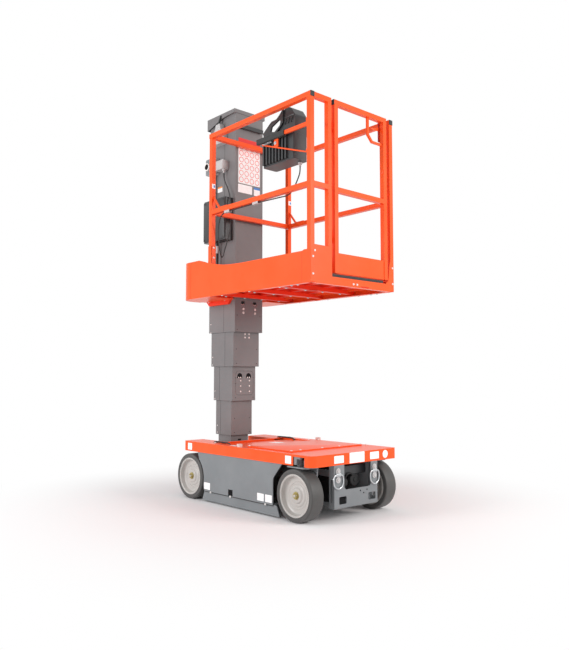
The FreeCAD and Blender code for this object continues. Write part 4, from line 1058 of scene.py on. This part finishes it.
@dataclass
class Chassis:
    """The chassis: tie-down rings, fasteners, blank plates and the deck's small things.

    Attributes:
        front: Face of the front box.
        apron: Half the width over the deck's apron, its edge folded down.
        skirt: Half the width over the skirts between the wheels.
        deck_top: Height of the deck.
        cover_half: Half the width of the deck's cover.
        ring_spread: Distance of each tie-down ring from the middle.
        ring_height: Height of the rings' middle.
        ring_radius: Radius of a ring.
        wire: Radius of its wire.
        lid_rise: How far the lid stands over the deck.
    """

    front: float = 700
    apron: float = 380
    skirt: float = 375
    deck_top: float = 403
    cover_half: float = 306
    ring_spread: float = 164
    ring_height: float = 236
    ring_radius: float = 41
    wire: float = 5
    lid_rise: float = 7.5

    def ring_path(self, y: float) -> list[Place]:
        """Lay out one D ring: a straight bar at the top and a half circle below.

        Args:
            y: The ring's middle across the machine.

        Returns:
            Points along its wire.
        """
        r, x, z = self.ring_radius, self.front + self.wire, self.ring_height
        bottom = [(x, y + r * math.cos(math.radians(a)), z - r * math.sin(math.radians(a)))
                  for a in range(0, 181, 20)]
        top = [(-1.0, 0.45), (-0.82, 0.88), (-0.42, 1.0), (0, 1.0), (0.42, 1.0), (0.82, 0.88),
               (1.0, 0.45)]
        return bottom + [(x, y + r * a, z + r * b) for a, b in top]

    def rings(self) -> None:
        """Forged D rings, each held by a folded strap and two flanged bolts."""
        form, straps = Form(), Form()
        bolts = []
        for hand in HANDS:
            y, z, r = hand * self.ring_spread, self.ring_height, self.ring_radius
            form.bent(self.ring_path(y), self.wire, closed=True, steps=14, spread=5)
            form.prism([(self.front + out, z + r + up) for out, up in (
                (1, -13), (4, -13), (9.4, -8), (9.9, 0), (9.4, 8), (4, 13), (1, 13))],
                Way.Y, (y - 20, y + 20), 0.8, 1)
            straps.prism(rounded((y - 20, z - 8), (y + 20, z + 84), 8), Way.X,
                         (self.front, self.front + 2.4), 0.5, 1)
            bolts += [((self.front + 4.0, y, z + up), AHEAD) for up in (64, 12)]
        made = form.piece("tie_down_d_rings", ZINC, Body.CHASSIS, Slot.ZINC)
        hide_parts("tie_down_rings")
        straps.piece("tie_down_straps", GREY_COAT, Body.CHASSIS, Slot.ZINC)
        Fasteners("tie_down_bolts", bolts, 13, 6, Head.PLAIN).build(PALE_PLASTIC, Body.CHASSIS)

    def plates(self) -> None:
        """Bare plates where the machine's labels are."""
        form = Form()
        x = self.front
        for y0, y1, z0, z1 in ((-195, -112, 346, 391), (-60, 75, 338, 402), (128, 212, 347, 392)):
            form.plate(Way.X, x, (y0, z0), (y1, z1), 3, 0.6)
        form.lathe([(-0.3, 0.1), (-0.3, 25), (0.4, 25), (0.7, 24.4), (0.7, 0.1)],
                   (x, 274, 370), Way.X, 48)
        for hand in HANDS:
            for x0, x1 in ((467, 521), (-577, -527)):
                form.plate(Way.Y, hand * self.apron, (x0, 344), (x1, 391), 3, 0.6, hand)
            for x0, x1 in ((-381, -312), (197, 262), (275, 339)):
                form.plate(Way.Y, hand * self.skirt, (x0, 88), (x1, 134), 3, 0.6, hand)
        form.plate(Way.Z, self.deck_top, (-118, -354), (-62, -322), 2)
        fall = [(-170, 30), (-30, 30), (-30, 95), (-170, 95)]
        form.skin([[Vector((px, py, self.cover_height(px) + lift)) for px, py in fall]
                   for lift in (0.1, 0.9)])
        form.piece("chassis_blank_plates", LABEL, Body.CHASSIS, Slot.PAD)

    @staticmethod
    def cover_height(x: float) -> float:
        """Height of the cover's top face, which falls towards the mast."""
        return 401 + 12 * min(0.0, (x - 36) / 362)

    def lid(self) -> None:
        """The raised front part of the deck's cover, and the black grips on its rear part."""
        form = Form()
        form.prism(rounded((30, -324), (461, 324), 9), Way.Z,
                   (self.deck_top - 0.2, self.deck_top + self.lid_rise), 1.2, 2)
        form.piece("deck_lid", ORANGE_COAT, Body.CHASSIS, Slot.ORANGE)
        grip = Form()
        for hand in HANDS:
            y = hand * 296
            grip.bent([(-376, y, 402), (-352, y, 408), (-280, y, 409.5), (-212, y, 408),
                       (-186, y, 396)], 5.5, steps=12)
        grip.piece("cover_grips", BLACK_RUBBER, Body.CHASSIS, Slot.RUBBER)

    def lining(self) -> None:
        """Folded lining round the mast's well, which closes the deck's inner edge, and a dark
        sheet of painted shade for a slot at the mast's foot.
        """
        form = Form()
        for hand in HANDS:
            y0, y1 = across(hand, 211.4, 213.7)
            form.box((-627, y0, 336), (-340, y1, 402.8), 0.6, 1)
            y0, y1 = across(hand, 213.7, 221.8)
            form.box((-627, y0, 398.2), (-338, y1, 402.8), 0.6, 1)
        form.piece("well_lining", ORANGE_COAT, Body.CHASSIS, Slot.ORANGE)
        slot = Form()
        slot.box((-465.6, -15, 391), (-464.75, 14, 404))
        slot.piece("column_slot_shade", SHADE, Body.CHASSIS, Slot.MAST)

    def inside(self) -> None:
        """What the front window and the wheel bays show: crossbeam, motor, hose, and dark sheets
        of painted shade in the bays.
        """
        beam, motor, bay_shade = Form(), Form(), Form()
        beam.prism(rounded((-149, 262), (149, 314), 6), Way.X, (636, 642), 0.8, 1)
        beam.box((560, -149, 262), (636, -143, 314), 0.6, 1)
        motor.lathe([(-70, 0.1), (-70, 38), (-64, 42), (-14, 42), (-12, 40), (-8, 40), (-6, 42),
                     (0, 42), (5, 37), (5, 16), (9, 14), (9, 0.1)], (625, 62, 222), Way.X, 48)
        motor.lathe([(-60, 0.1), (-60, 27), (0, 27), (4, 23), (4, 0.1)], (640, -42, 214), Way.X,
                    32)
        motor.bent([(640, -42, 236), (648, -30, 262), (648, 0, 268), (640, 30, 256),
                    (628, 62, 262)], 6, steps=10)
        for hand in HANDS:
            sheet = across(hand, 160.2, 162.4)
            bay_shade.prism(rounded((512, 106), (642, 258), 18), Way.Y, sheet, 0.8, 1)
            bay_shade.prism(rounded((520, 300), (648, 322), 6), Way.Y, sheet, 0.8, 1)
        beam.piece("window_crossbeam", BLACK_PLASTIC, Body.CHASSIS, Slot.GREY)
        motor.piece("pump_motor", BATTERY_CASE, Body.CHASSIS, Slot.BATTERY)
        bay_shade.piece("wheel_bay_painted_shade", SHADE, Body.CHASSIS, Slot.RUBBER)

    def gap_shadows(self) -> None:
        """Painted shadow: a dark strip along the bottom of each skirt, for the shadowed gap over
        the pothole guard.
        """
        form = Form()
        for hand in HANDS:
            y0, y1 = across(hand, self.skirt - 5.6, self.skirt + 0.5)
            for x0, x1 in ((-374, -108), (-58, 343)):
                form.box((x0, y0, 70.5), (x1, y1, 75.6), 0.4, 1)
        form.piece("skirt_gap_shadow_strips", BLACK_RUBBER, Body.CHASSIS, Slot.RUBBER)

    def screws(self) -> None:
        """Small white-capped screws on the deck, along its lid and on the skirts."""
        top = self.deck_top + self.lid_rise + 1
        spots = [((x, y, top), UP) for x, y in (
            (453, -316), (453, -240), (453, -48), (453, 108), (453, 314), (46, 316), (46, -316))]
        spots += [((x, y, self.deck_top + 1), UP) for x, y in (
            (-328, -322), (-328, 322), (-60, 322))]
        spots += [((x, hand * (self.skirt + 0.6), 73), (0, hand, 0))
                  for x in (-303, -81, 278) for hand in (-1, 1)]
        Fasteners("deck_screws", spots, 7.5, 4, Head.BUTTON).build(SCREW_CAP, Body.CHASSIS,
                                                                   Slot.PAD)
        form = Form()
        for x in (470, -300):
            form.lathe([(-1, 0.1), (-1, 6), (6, 6), (8, 4.5), (8.6, 0.1)],
                       (x, 352, self.deck_top), Way.Z, 18)
        form.piece("deck_studs", SCREW_CAP, Body.CHASSIS, Slot.PAD)

    def deck_edges(self) -> None:
        """Folded flanges below the deck's opening, which close its step to the cover."""
        form = Form()
        low, high = 383, self.deck_top - 4
        for hand in HANDS:
            y0, y1 = across(hand, self.cover_half + 2.2, self.cover_half + 5)
            form.box((-326, y0, low), (458, y1, high), 0.6, 1)
        form.box((458.2, -self.cover_half - 2, 396), (461, self.cover_half + 2, high), 0.6, 1)
        form.piece("deck_flanges", ORANGE_COAT, Body.CHASSIS, Slot.ORANGE)

    def side_details(self) -> None:
        """The catch in a skirt's notch with the notch's back, both dark as painted shade, and the
        bearing sleeve in the kingpin notch.
        """
        catch, sleeve, washer = Form(), Form(), Form()
        for hand in HANDS:
            y0, y1 = across(hand, self.skirt - 7, self.skirt - 5)
            catch.box((-107, y0, 80), (-59, y1, 117), 0.5, 1)
            catch.prism([(-88, 78), (-66, 78), (-66, 96), (-74, 104), (-88, 92)], Way.Y,
                        across(hand, self.skirt - 5, self.skirt - 1), 0.8, 1)
            pin = (508, hand * 336, 0)
            sleeve.lathe([(341, 0.1), (341, 16), (343, 17.5), (391, 17.5), (393, 16),
                          (393, 0.1)], pin, Way.Z, 32)
            washer.lathe([(337, 12), (337, 18.5), (341, 18.5), (341, 12)], pin, Way.Z, 32,
                         closed=True)
            y0, y1 = across(hand, 352, 374)
            sleeve.box((537.5, y0, 341), (562, y1, 393), 2.0, 2)
            sleeve.box((561, y0, 376), (594, y1, 393), 2.0, 2)
        catch.piece("skirt_catches_in_painted_shade", SHADE, Body.CHASSIS, Slot.BOX)
        sleeve.piece("kingpin_sleeves", GREY_COAT, Body.CHASSIS, Slot.GREY)
        washer.piece("kingpin_washers", BRASS, Body.CHASSIS, Slot.ZINC)

    def build(self) -> None:
        """Make the chassis pieces."""
        for make in (self.rings, self.plates, self.screws, self.deck_edges, self.side_details,
                     self.lid, self.lining, self.inside, self.gap_shadows):
            make()


# ---------------------------------------------------------------- mast


@dataclass(frozen=True)
class Section:
    """One moving mast section and the fasteners on it.

    Attributes:
        name: The section's letter.
        body: The body that it is.
        half: Half its width.
        front: Its front face.
        low: Its bottom.
        high: Its top.
        seam: Place of the joint in its sides.
        edge: Screws near the rear of its sides, as (x, z).
        face: Dark screws on its front, as (y, z).
    """

    name: str
    body: Body
    half: float
    front: float
    low: float
    high: float
    seam: float
    edge: Outline
    face: Outline

    def build(self) -> None:
        """Make the joints and screws. They lie flush, because the next section's pads pass."""
        form = Form()
        for hand in HANDS:
            y0, y1 = across(hand, self.half - 0.5, self.half + 0.25)
            form.box((self.seam - 1.4, y0, self.low + 1), (self.seam + 1.4, y1, self.high - 12))
        form.piece(f"mast_joint_{self.name}", JOINT, self.body, Slot.MAST)
        sides = [((x, hand * self.half, z), (0, hand, 0))
                 for x, z in self.edge for hand in (-1, 1)]
        Fasteners(f"mast_side_screws_{self.name}", sides, 4.5, 0.5).build(SCREW_CAP, self.body)
        front = [((self.front, y, z), AHEAD) for y, z in self.face]
        Fasteners(f"mast_face_screws_{self.name}", front, 4, 0.5).build(DARK_SCREW, self.body)


@dataclass
class Mast:
    """The mast's dressing: joints, screws, anchor windows, blank decals, lids and hoses.

    Attributes:
        front: Front face of the section that carries the platform.
        half: Half that section's width.
        relay_face: Distance of the relay box's outer face from the middle.
        sections: The moving sections, the innermost first.
    """

    front: float = -361
    half: float = 130
    relay_face: float = 200
    sections: list[Section] = field(default_factory=lambda: [
        Section("a", Body.MAST_A, 96, -441, 434, 2046, -573, [(-613, 499), (-613, 448)],
                [(-67, 557), (-67, 454), (74, 557), (74, 454)]),
        Section("b", Body.MAST_B, 108, -415, 686, 2298, -573, [(-630, 754), (-630, 697)],
                [(-79, 854), (-79, 813), (-78, 709), (86, 709), (88, 854)]),
        Section("c", Body.MAST_C, 120, -389, 938, 2550, -492, [(-645, 1008), (-645, 950)],
                [(-93, 1065), (98, 1066), (-92, 960), (98, 961)]),
        Section("d", Body.PLATFORM, 130, -361, 1190, 2800, -496, [(-658, 1256), (-658, 1193)],
                [(-109, 1312), (-108, 1207), (108, 1311), (110, 1205)]),
    ])

    def anchors(self) -> None:
        """Chain anchor windows and bolts on the front faces; the windows on B are dark sheets of
        painted shade, ringed by a painted shadow line.
        """
        face, next_face = self.sections[1].front, self.sections[2].front
        shade_sheets, rule = Form(), Form()
        for y in (-40, 43):
            dome = arc((y, 866), 23, 0, 180, 10)
            shade_sheets.prism([(y - 23, 852), (y + 23, 852)] + dome, Way.X, (face - 1, face + 0.2))
        rule.frame((-80, 727), (88, 905), 28, 2.0, Way.X, (face - 1, face + 0.2))
        shade_sheets.piece("anchor_window_shades_b", SHADE, Body.MAST_B, Slot.MAST)
        rule.piece("anchor_plate_shadow_line_b", JOINT, Body.MAST_B, Slot.MAST)
        columns = [((face, y, z), AHEAD) for y in (-31, 52) for z in (833, 794, 754)]
        columns += [((face, y + step, 857), AHEAD) for y in (-40, 43) for step in (-9, 9)]
        Fasteners("anchor_bolts_b", columns, 6, 0.28).build(SCREW_CAP, Body.MAST_B)
        four = [((next_face, y, z), AHEAD) for y in (-12, 26) for z in (1177, 1152)]
        Fasteners("anchor_bolts_c", four, 7, 0.5).build(SCREW_CAP, Body.MAST_C)
        inside = Form()
        for y in (-55, 55):
            inside.rod((self.front - 14, y - 16, 1409), (self.front - 14, y + 16, 1409), 7, 16)
            inside.box((self.front - 12, y - 17, 1380), (self.front - 6, y + 17, 1396), 0.6, 1)
        inside.piece("anchor_clevises_d", BATTERY_CASE, Body.PLATFORM, Slot.ZINC)
        pairs = [((self.front - 5, y + step, 1389), AHEAD) for y in (-55, 55)
                 for step in (-10, 10)]
        pairs += [((self.front + 1, y, z), AHEAD) for y in (-51, 59) for z in (1360, 1332)]
        Fasteners("anchor_bolts_d", pairs, 6.5, 4, Head.HEX).build(SCREW_CAP, Body.PLATFORM)

    def decals(self) -> None:
        """Blank panels where the mast's labels are: empty frames and plain bands."""
        x, side = self.front, -self.half
        sheet, over = 0.5, 0.8
        white, red, rule, blue, orange = (Form() for _ in range(5))
        white.plate(Way.X, x, (-105, 2298), (103, 2641), 4, sheet)
        red.plate(Way.X, x, (-105, 2607), (103, 2641), 4, over)
        pitch_y, pitch_z = 50.5, 50.0
        for column in range(4):
            for row in range(6):
                y, z = -101 + column * pitch_y, 2302 + row * pitch_z
                rule.frame((y + 4, z + 5), (y + 45, z + 46), 19.5, 4.0, Way.X,
                           (x - SUNK, x + over))
        white.plate(Way.X, x, (-106, 2227), (27, 2290), 3, sheet)
        white.plate(Way.X, x, (44, 2225), (103, 2288), 3, sheet)
        blue.plate(Way.X, x, (44, 2271), (103, 2288), 3, over)
        white.plate(Way.Y, side, (-580, 2257), (-523, 2298), 2, sheet, -1)
        orange.plate(Way.Y, side, (-580, 2287), (-523, 2298), 2, over, -1)
        for form, name, finish in ((white, "white", LABEL), (red, "red", LABEL_RED),
                                   (rule, "rules", LABEL_LINE), (blue, "blue", LABEL_BLUE),
                                   (orange, "orange", LABEL_ORANGE)):
            form.piece(f"mast_decal_{name}", finish, Body.PLATFORM, Slot.PAD)

    def boxes(self) -> None:
        """Lids, glands and hoses of the boxes on the mast's right side, and a dark disc of painted
        shade in the junction's socket.
        """
        y = -self.relay_face
        lid = Form()
        lid.prism(rounded((-660, 1876), (-402, 2179), 12), Way.Y, (y - 4, y + 1), 1.5, 2)
        lid.piece("relay_box_lid", BLACK_PLASTIC, Body.PLATFORM, Slot.BOX)
        spots = [((x, y - 5, z), RIGHT) for x in (-648, -414) for z in (1888, 2167)]
        Fasteners("relay_box_screws", spots, 5, 3).build(DARK_SCREW, Body.PLATFORM)
        hose = Form()
        hose.bent([(-540, -160, 1868), (-540, -160, 1760), (-540, -160, 1600),
                   (-540, -158, 1520), (-540, -146, 1487)], 9)
        hose.bent([(-531, -155, 2766), (-533, -156, 2790), (-527, -152, 2812),
                   (-524, -147, 2836)], 8)
        hose.piece("mast_hoses", BLACK_RUBBER, Body.PLATFORM, Slot.RUBBER)
        band = Form()
        band.lathe([(1783, 9), (1783, 12.5), (1837, 12.5), (1837, 9)], (-540, -160, 0), Way.Z, 24,
                   closed=True)
        band.lathe([(2752, 0.1), (2752, 15), (2764, 15), (2768, 11), (2774, 11), (2774, 0.1)],
                   (-532, -156, 0), Way.Z, 24)
        band.prism(rounded((-600, 2622), (-479, 2706), 8), Way.Y, (-181, -177), 1.2, 1)
        band.prism(rounded((-556, 2411), (-458, 2471), 7), Way.Y, (-181, -177), 1.2, 1)
        band.piece("switch_box_lids", PALE_PLASTIC, Body.PLATFORM, Slot.SWITCH)
        cover = Form()
        cover.prism(rounded((-668, 2397), (-568, 2519), 9), Way.Y, (-182, -177.7), 1.2, 1)
        cover.piece("junction_cover", GREY_COAT, Body.PLATFORM, Slot.SWITCH)
        ring, socket = Form(), Form()
        ring.lathe([(-196.4, 22), (-196.4, 29), (-195, 30.4), (-180, 30.6), (-180, 22)],
                   (-638, 0, 2458), Way.Y, 40, closed=True)
        ring.piece("junction_ring", SCREW_CAP, Body.PLATFORM, Slot.SWITCH)
        socket.lathe([(-195.4, 0.1), (-195.4, 22), (-194, 22.2), (-193, 22.2), (-193, 0.1)],
                     (-638, 0, 2458), Way.Y, 40)
        socket.piece("junction_socket", SHADE, Body.PLATFORM, Slot.SWITCH)

    def build(self) -> None:
        """Make the mast's dressing."""
        for make in (*(section.build for section in self.sections), self.anchors, self.decals,
                     self.boxes):
            make()


# ---------------------------------------------------------------- platform


@dataclass
class Platform:
    """The platform's small pieces: sleeves, plates, bolts, flanges, latch lever and stops.

    Attributes:
        half: Half the width over the toe panels.
        front: Face of the front guard.
        rear: Rear face of the rear posts.
        tube: Width of the posts.
        low: Bottom of the toe panels.
        inset: How far the bottom flanges lie inside the width.
    """

    half: float = 383
    front: float = 698
    rear: float = -342
    tube: float = 32
    low: float = 1424
    inset: float = 4

    def sleeves(self) -> None:
        """Stub sleeves that carry the rear posts, and the overlap plates at the front."""
        form = Form()
        wall = 3
        for hand in HANDS:
            outer, inner = self.half - 0.5, self.half - self.tube - 8
            x0, x1 = self.rear - 3.5, self.rear + self.tube + 3.5
            for xs, ys in (((x0, x0 + wall), (outer, inner)), ((x1 - wall, x1), (outer, inner)),
                           ((x0, x1), (outer, outer - wall)), ((x0, x1), (inner, inner + wall))):
                y0, y1 = across(hand, *ys)
                form.box((xs[0], y0, 1640), (xs[1], y1, 1781), 0.8, 1)
            form.prism([(622, 1425), (697, 1425), (697, 1626), (640, 1626), (622, 1619)], Way.Y,
                       across(hand, self.half - 0.5, self.half + 1.2), 0.5, 1)
        form.piece("post_sleeves", ORANGE_COAT, Body.PLATFORM, Slot.ORANGE)

    def joints(self) -> None:
        """Dark joints: the wing seams of the toe panels and the slot in the sill."""
        form = Form()
        for hand in HANDS:
            y0, y1 = across(hand, self.half - 0.5, self.half + 0.25)
            form.box((-560.2, y0, 1426), (-557.8, y1, 1693))
            form.box((619.5, y0, 1426), (621.3, y1, 1618))
        form.prism(rounded((57, 1426.5), (137, 1434.5), 3.5), Way.X,
                   (self.front - 0.5, self.front + 0.3))
        form.prism(rounded((292, -60), (352, 20), 8), Way.Z, (1435.2, 1436.4))
        form.piece("panel_joints", SHADED_COAT, Body.PLATFORM, Slot.ORANGE)

    def flanges(self) -> None:
        """Inward flanges below the toe panels and wings, and the floor's edge channels.

        The straight flange is open over the deck's rest pads, where the platform comes down.
        """
        form = Form()
        for hand in HANDS:
            y0, y1 = across(hand, self.half - self.inset, self.half - 34)
            for x0, x1 in ((self.rear, -28), (23, self.front - self.tube)):
                form.box((x0, y0, self.low + 0.5), (x1, y1, self.low + 3.5), 0.6, 1)
            y0, y1 = across(hand, 300, 306)
            form.box((self.rear + 50, y0, 1450), (self.front - 70, y1, 1484.5), 0.8, 1)
            bend = (-585, self.half - self.inset - 119)
            wing = [(self.rear, self.half - self.inset), (bend[0], self.half - self.inset)]
            wing += arc(bend, 119, 90, 180, 10)[1:]
            wing += [(-704, 191), (-690, 176), (-690, 152), (self.rear, 152)]
            form.prism([(x, hand * y) for x, y in wing], Way.Z,
                       (self.low + 0.5, self.low + 3.5), 0.6, 1)
        form.piece("toe_panel_flanges", ORANGE_COAT, Body.PLATFORM, Slot.ORANGE)

    def bolts(self) -> None:
        """Bolts at the front plates, the sleeves, the carriage and below the floor."""
        x = self.front + 1
        spots = [((x, y, z), AHEAD) for y, z in (
            (-350, 1617), (-365, 1580), (-365, 1476), (368, 1582), (369, 1477), (-13, 1442),
            (21, 1442))]
        for hand in HANDS:
            spots += [((self.rear + self.tube + 5, hand * 363, z), AHEAD) for z in (1769, 1699)]
            spots += [((x, hand * 152, z), (0, hand, 0)) for x, z in ((-659, 1424), (-457, 1428))]
            spots += [((place, hand * 366, self.low - 1.5), DOWN) for place in (-200, 100, 400)]
            spots.append(((self.rear + self.tube - 6, hand * 343, 2005), DOWN))
        Fasteners("platform_bolts", spots, 7.5, 4, Head.BUTTON).build(SCREW_CAP, Body.PLATFORM,
                                                                      Slot.PAD)
        under = [((place, y, 1434), DOWN) for place in (-310, 12, 332, 645)
                 for y in (-250, -80, 80, 250)]
        under += [((place, hand * 366, self.low - 1.5), DOWN) for place in (512, 566)
                  for hand in (-1, 1)]
        Fasteners("floor_nuts", under, 7, 5, Head.HEX).build(ZINC, Body.PLATFORM)

    def plates(self) -> None:
        """Blank plates on the rear posts."""
        white, blue = Form(), Form()
        x = self.rear + self.tube
        for y0, y1 in ((-378, -350), (351, 378)):
            white.plate(Way.X, x, (y0, 2193), (y1, 2226), 2)
            blue.plate(Way.X, x, (y0 + 12, 2201), (y1 - 2, 2218), 2, 0.8)
        white.piece("post_plates_white", LABEL, Body.PLATFORM, Slot.PAD)
        blue.piece("post_plates_blue", LABEL_BLUE, Body.PLATFORM, Slot.PAD)

    def latch(self) -> None:
        """The gate latch's lever and bolts, and small stops on the posts."""
        form, stop, bump = Form(), Form(), Form()
        form.prism([(288, 2502), (288, 2534), (262, 2522), (236, 2514), (213, 2512),
                    (211, 2505), (214, 2499), (240, 2500)], Way.X, (659.5, 665), 1.6, 2)
        form.piece("latch_lever", ORANGE_COAT, Body.GATE, Slot.ORANGE)
        spots = [((667, 300, z), AHEAD) for z in (2535, 2460)]
        Fasteners("latch_bolts", spots, 6.5, 4, Head.BUTTON).build(SCREW_CAP, Body.GATE)
        stop.box((670, 284.5, 2208), (692, 291, 2238), 1.5, 2)
        stop.piece("gate_stop", ORANGE_COAT, Body.GATE, Slot.ORANGE)
        bump.box((670, self.half - 1, 2220), (692, self.half + 4, 2249), 1.5, 2)
        bump.piece("guard_stop", ORANGE_COAT, Body.PLATFORM, Slot.ORANGE)

    def build(self) -> None:
        """Make the platform's pieces."""
        for make in (self.sleeves, self.joints, self.flanges, self.bolts, self.plates,
                     self.latch):
            make()


# ---------------------------------------------------------------- controls


@dataclass
class Controls:
    """The control box's vents and lip, and the bolt and spring of its bracket.

    Attributes:
        hood: The hood's right face.
    """

    hood: float = -298

    def vents(self) -> None:
        """Slanted vents in the hood's side, drawn as dark sheets of painted shade between raised
        ribs.
        """
        shade_sheets, rib = Form(), Form()
        y = self.hood
        for x0 in (346, 374, 402, 430):
            shade_sheets.prism([(x0, 2484), (x0 + 9, 2484), (x0 + 24, 2519), (x0 + 15, 2519)], Way.Y,
                       (y - 0.4, y + 1))
            rib.prism([(x0 + 11, 2484), (x0 + 16, 2484), (x0 + 31, 2519), (x0 + 26, 2519)],
                      Way.Y, (y - 2.5, y + 1), 0.8, 1)
        rib.prism([(338, 2526), (462, 2526), (466, 2532), (462, 2538), (338, 2538)],
                  Way.Y, (y - 4, y + 1), 1.6, 2)
        shade_sheets.piece("hood_vent_shades", SHADE, Body.PLATFORM, Slot.BOX)
        rib.piece("hood_ribs", BLACK_PLASTIC, Body.PLATFORM, Slot.BOX)

    def bracket(self) -> None:
        """The bolt in the bracket's tab and the coil spring behind the sleeve."""
        Fasteners("bracket_bolt", [((319, -334.5, 2370), RIGHT)], 8, 4,
                  Head.PLAIN).build(ZINC, Body.PLATFORM)
        coil = Form()
        turns, steps, length = 9, 8, 76
        coil.bent([(210 + length * i / (turns * steps),
                    -337 + 7 * math.cos(2 * math.pi * i / steps),
                    2384 + 7 * math.sin(2 * math.pi * i / steps) + 3 * i / (turns * steps))
                   for i in range(turns * steps + 1)], 1.7, steps=8, spread=2)
        coil.piece("enable_spring", ZINC, Body.PLATFORM, Slot.ZINC)

    def build(self) -> None:
        """Make the controls' small pieces."""
        for make in (self.vents, self.bracket):
            make()


# ---------------------------------------------------------------- control cable


@dataclass
class ControlCable:
    """The one cord: from the control box, along the mid rail and up to the mast's socket.

    Attributes:
        points: The route's points, as in the part's source, in millimetres.
        diameter: The jacket's diameter.
        length: Its length; not used.
    """

    diameter: float = 8
    length: float = 1998
    points: list[Place] = field(default_factory=lambda: [
        (430, -217, 2212), (430, -217, 2176), (438, -240, 2135), (452, -270, 2095),
        (463, -300, 2055), (462, -328, 2012), (450, -352, 1994), (400, -362, 1993),
        (335, -365, 1994), (255, -365, 1997), (180, -364, 2000), (-150, -364, 2000),
        (-193, -363, 1996), (-228, -359, 1982), (-258, -352, 1954), (-283, -342, 1905),
        (-294, -332, 1840), (-297, -322, 1775), (-297, -310, 1732), (-316, -285, 1707),
        (-338, -260, 1722), (-346, -245, 1748), (-337, -235, 1798), (-325, -222, 1860),
        (-330, -200, 1924), (-357, -172, 1985), (-361, -168, 2053), (-366, -166, 2118),
        (-383, -163, 2184), (-410, -160, 2247), (-444, -158, 2296), (-470, -157, 2344),
        (-470, -157, 2382)])

    def build(self) -> None:
        curve = bpy.data.curves.new("control_cord", "CURVE")
        curve.dimensions = "3D"
        curve.bevel_depth = self.diameter / 2 * MM
        curve.bevel_resolution = 4
        curve.resolution_u = 12
        curve.use_fill_caps = True
        line = curve.splines.new("NURBS")
        line.points.add(len(self.points) - 1)
        for spot, place in zip(line.points, self.points):
            spot.co = (*(Vector(place) * MM), 1)
        line.order_u = 3
        line.use_endpoint_u = True
        made = add_object("control_cord", curve)
        curve.materials.append(CABLE_JACKET.material())
        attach(made, Body.PLATFORM.value)
        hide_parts("control_cable")


def dress_nodes() -> None:
    """Give every carried-over CAD node the finish of its material slot."""
    slots = {part["node"]: part["material_slot"] for part in frame["record"]["subparts"]}
    for name, node in frame["nodes"].items():
        finish = SPECIAL_FINISH.get(name, NODE_FINISH[slots[name]])
        node.data.materials.clear()
        node.data.materials.append(finish.material())
    log.info("%d CAD nodes dressed", len(frame["nodes"]))


def main() -> None:
    """Build the studio and every sub-assembly."""
    logging.basicConfig(level=logging.INFO, format="%(name)s: %(message)s")
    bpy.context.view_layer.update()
    Studio().build()
    ControlCable().build()
    dress_nodes()
    for end, axle_x in (("front", 545), ("rear", -552)):
        for side in SIDES:
            Wheel(end, side, axle_x).build()
    for assembly in (Chassis(), Mast(), Platform(), Controls()):
        assembly.build()


if __name__ == "__main__":
    main()
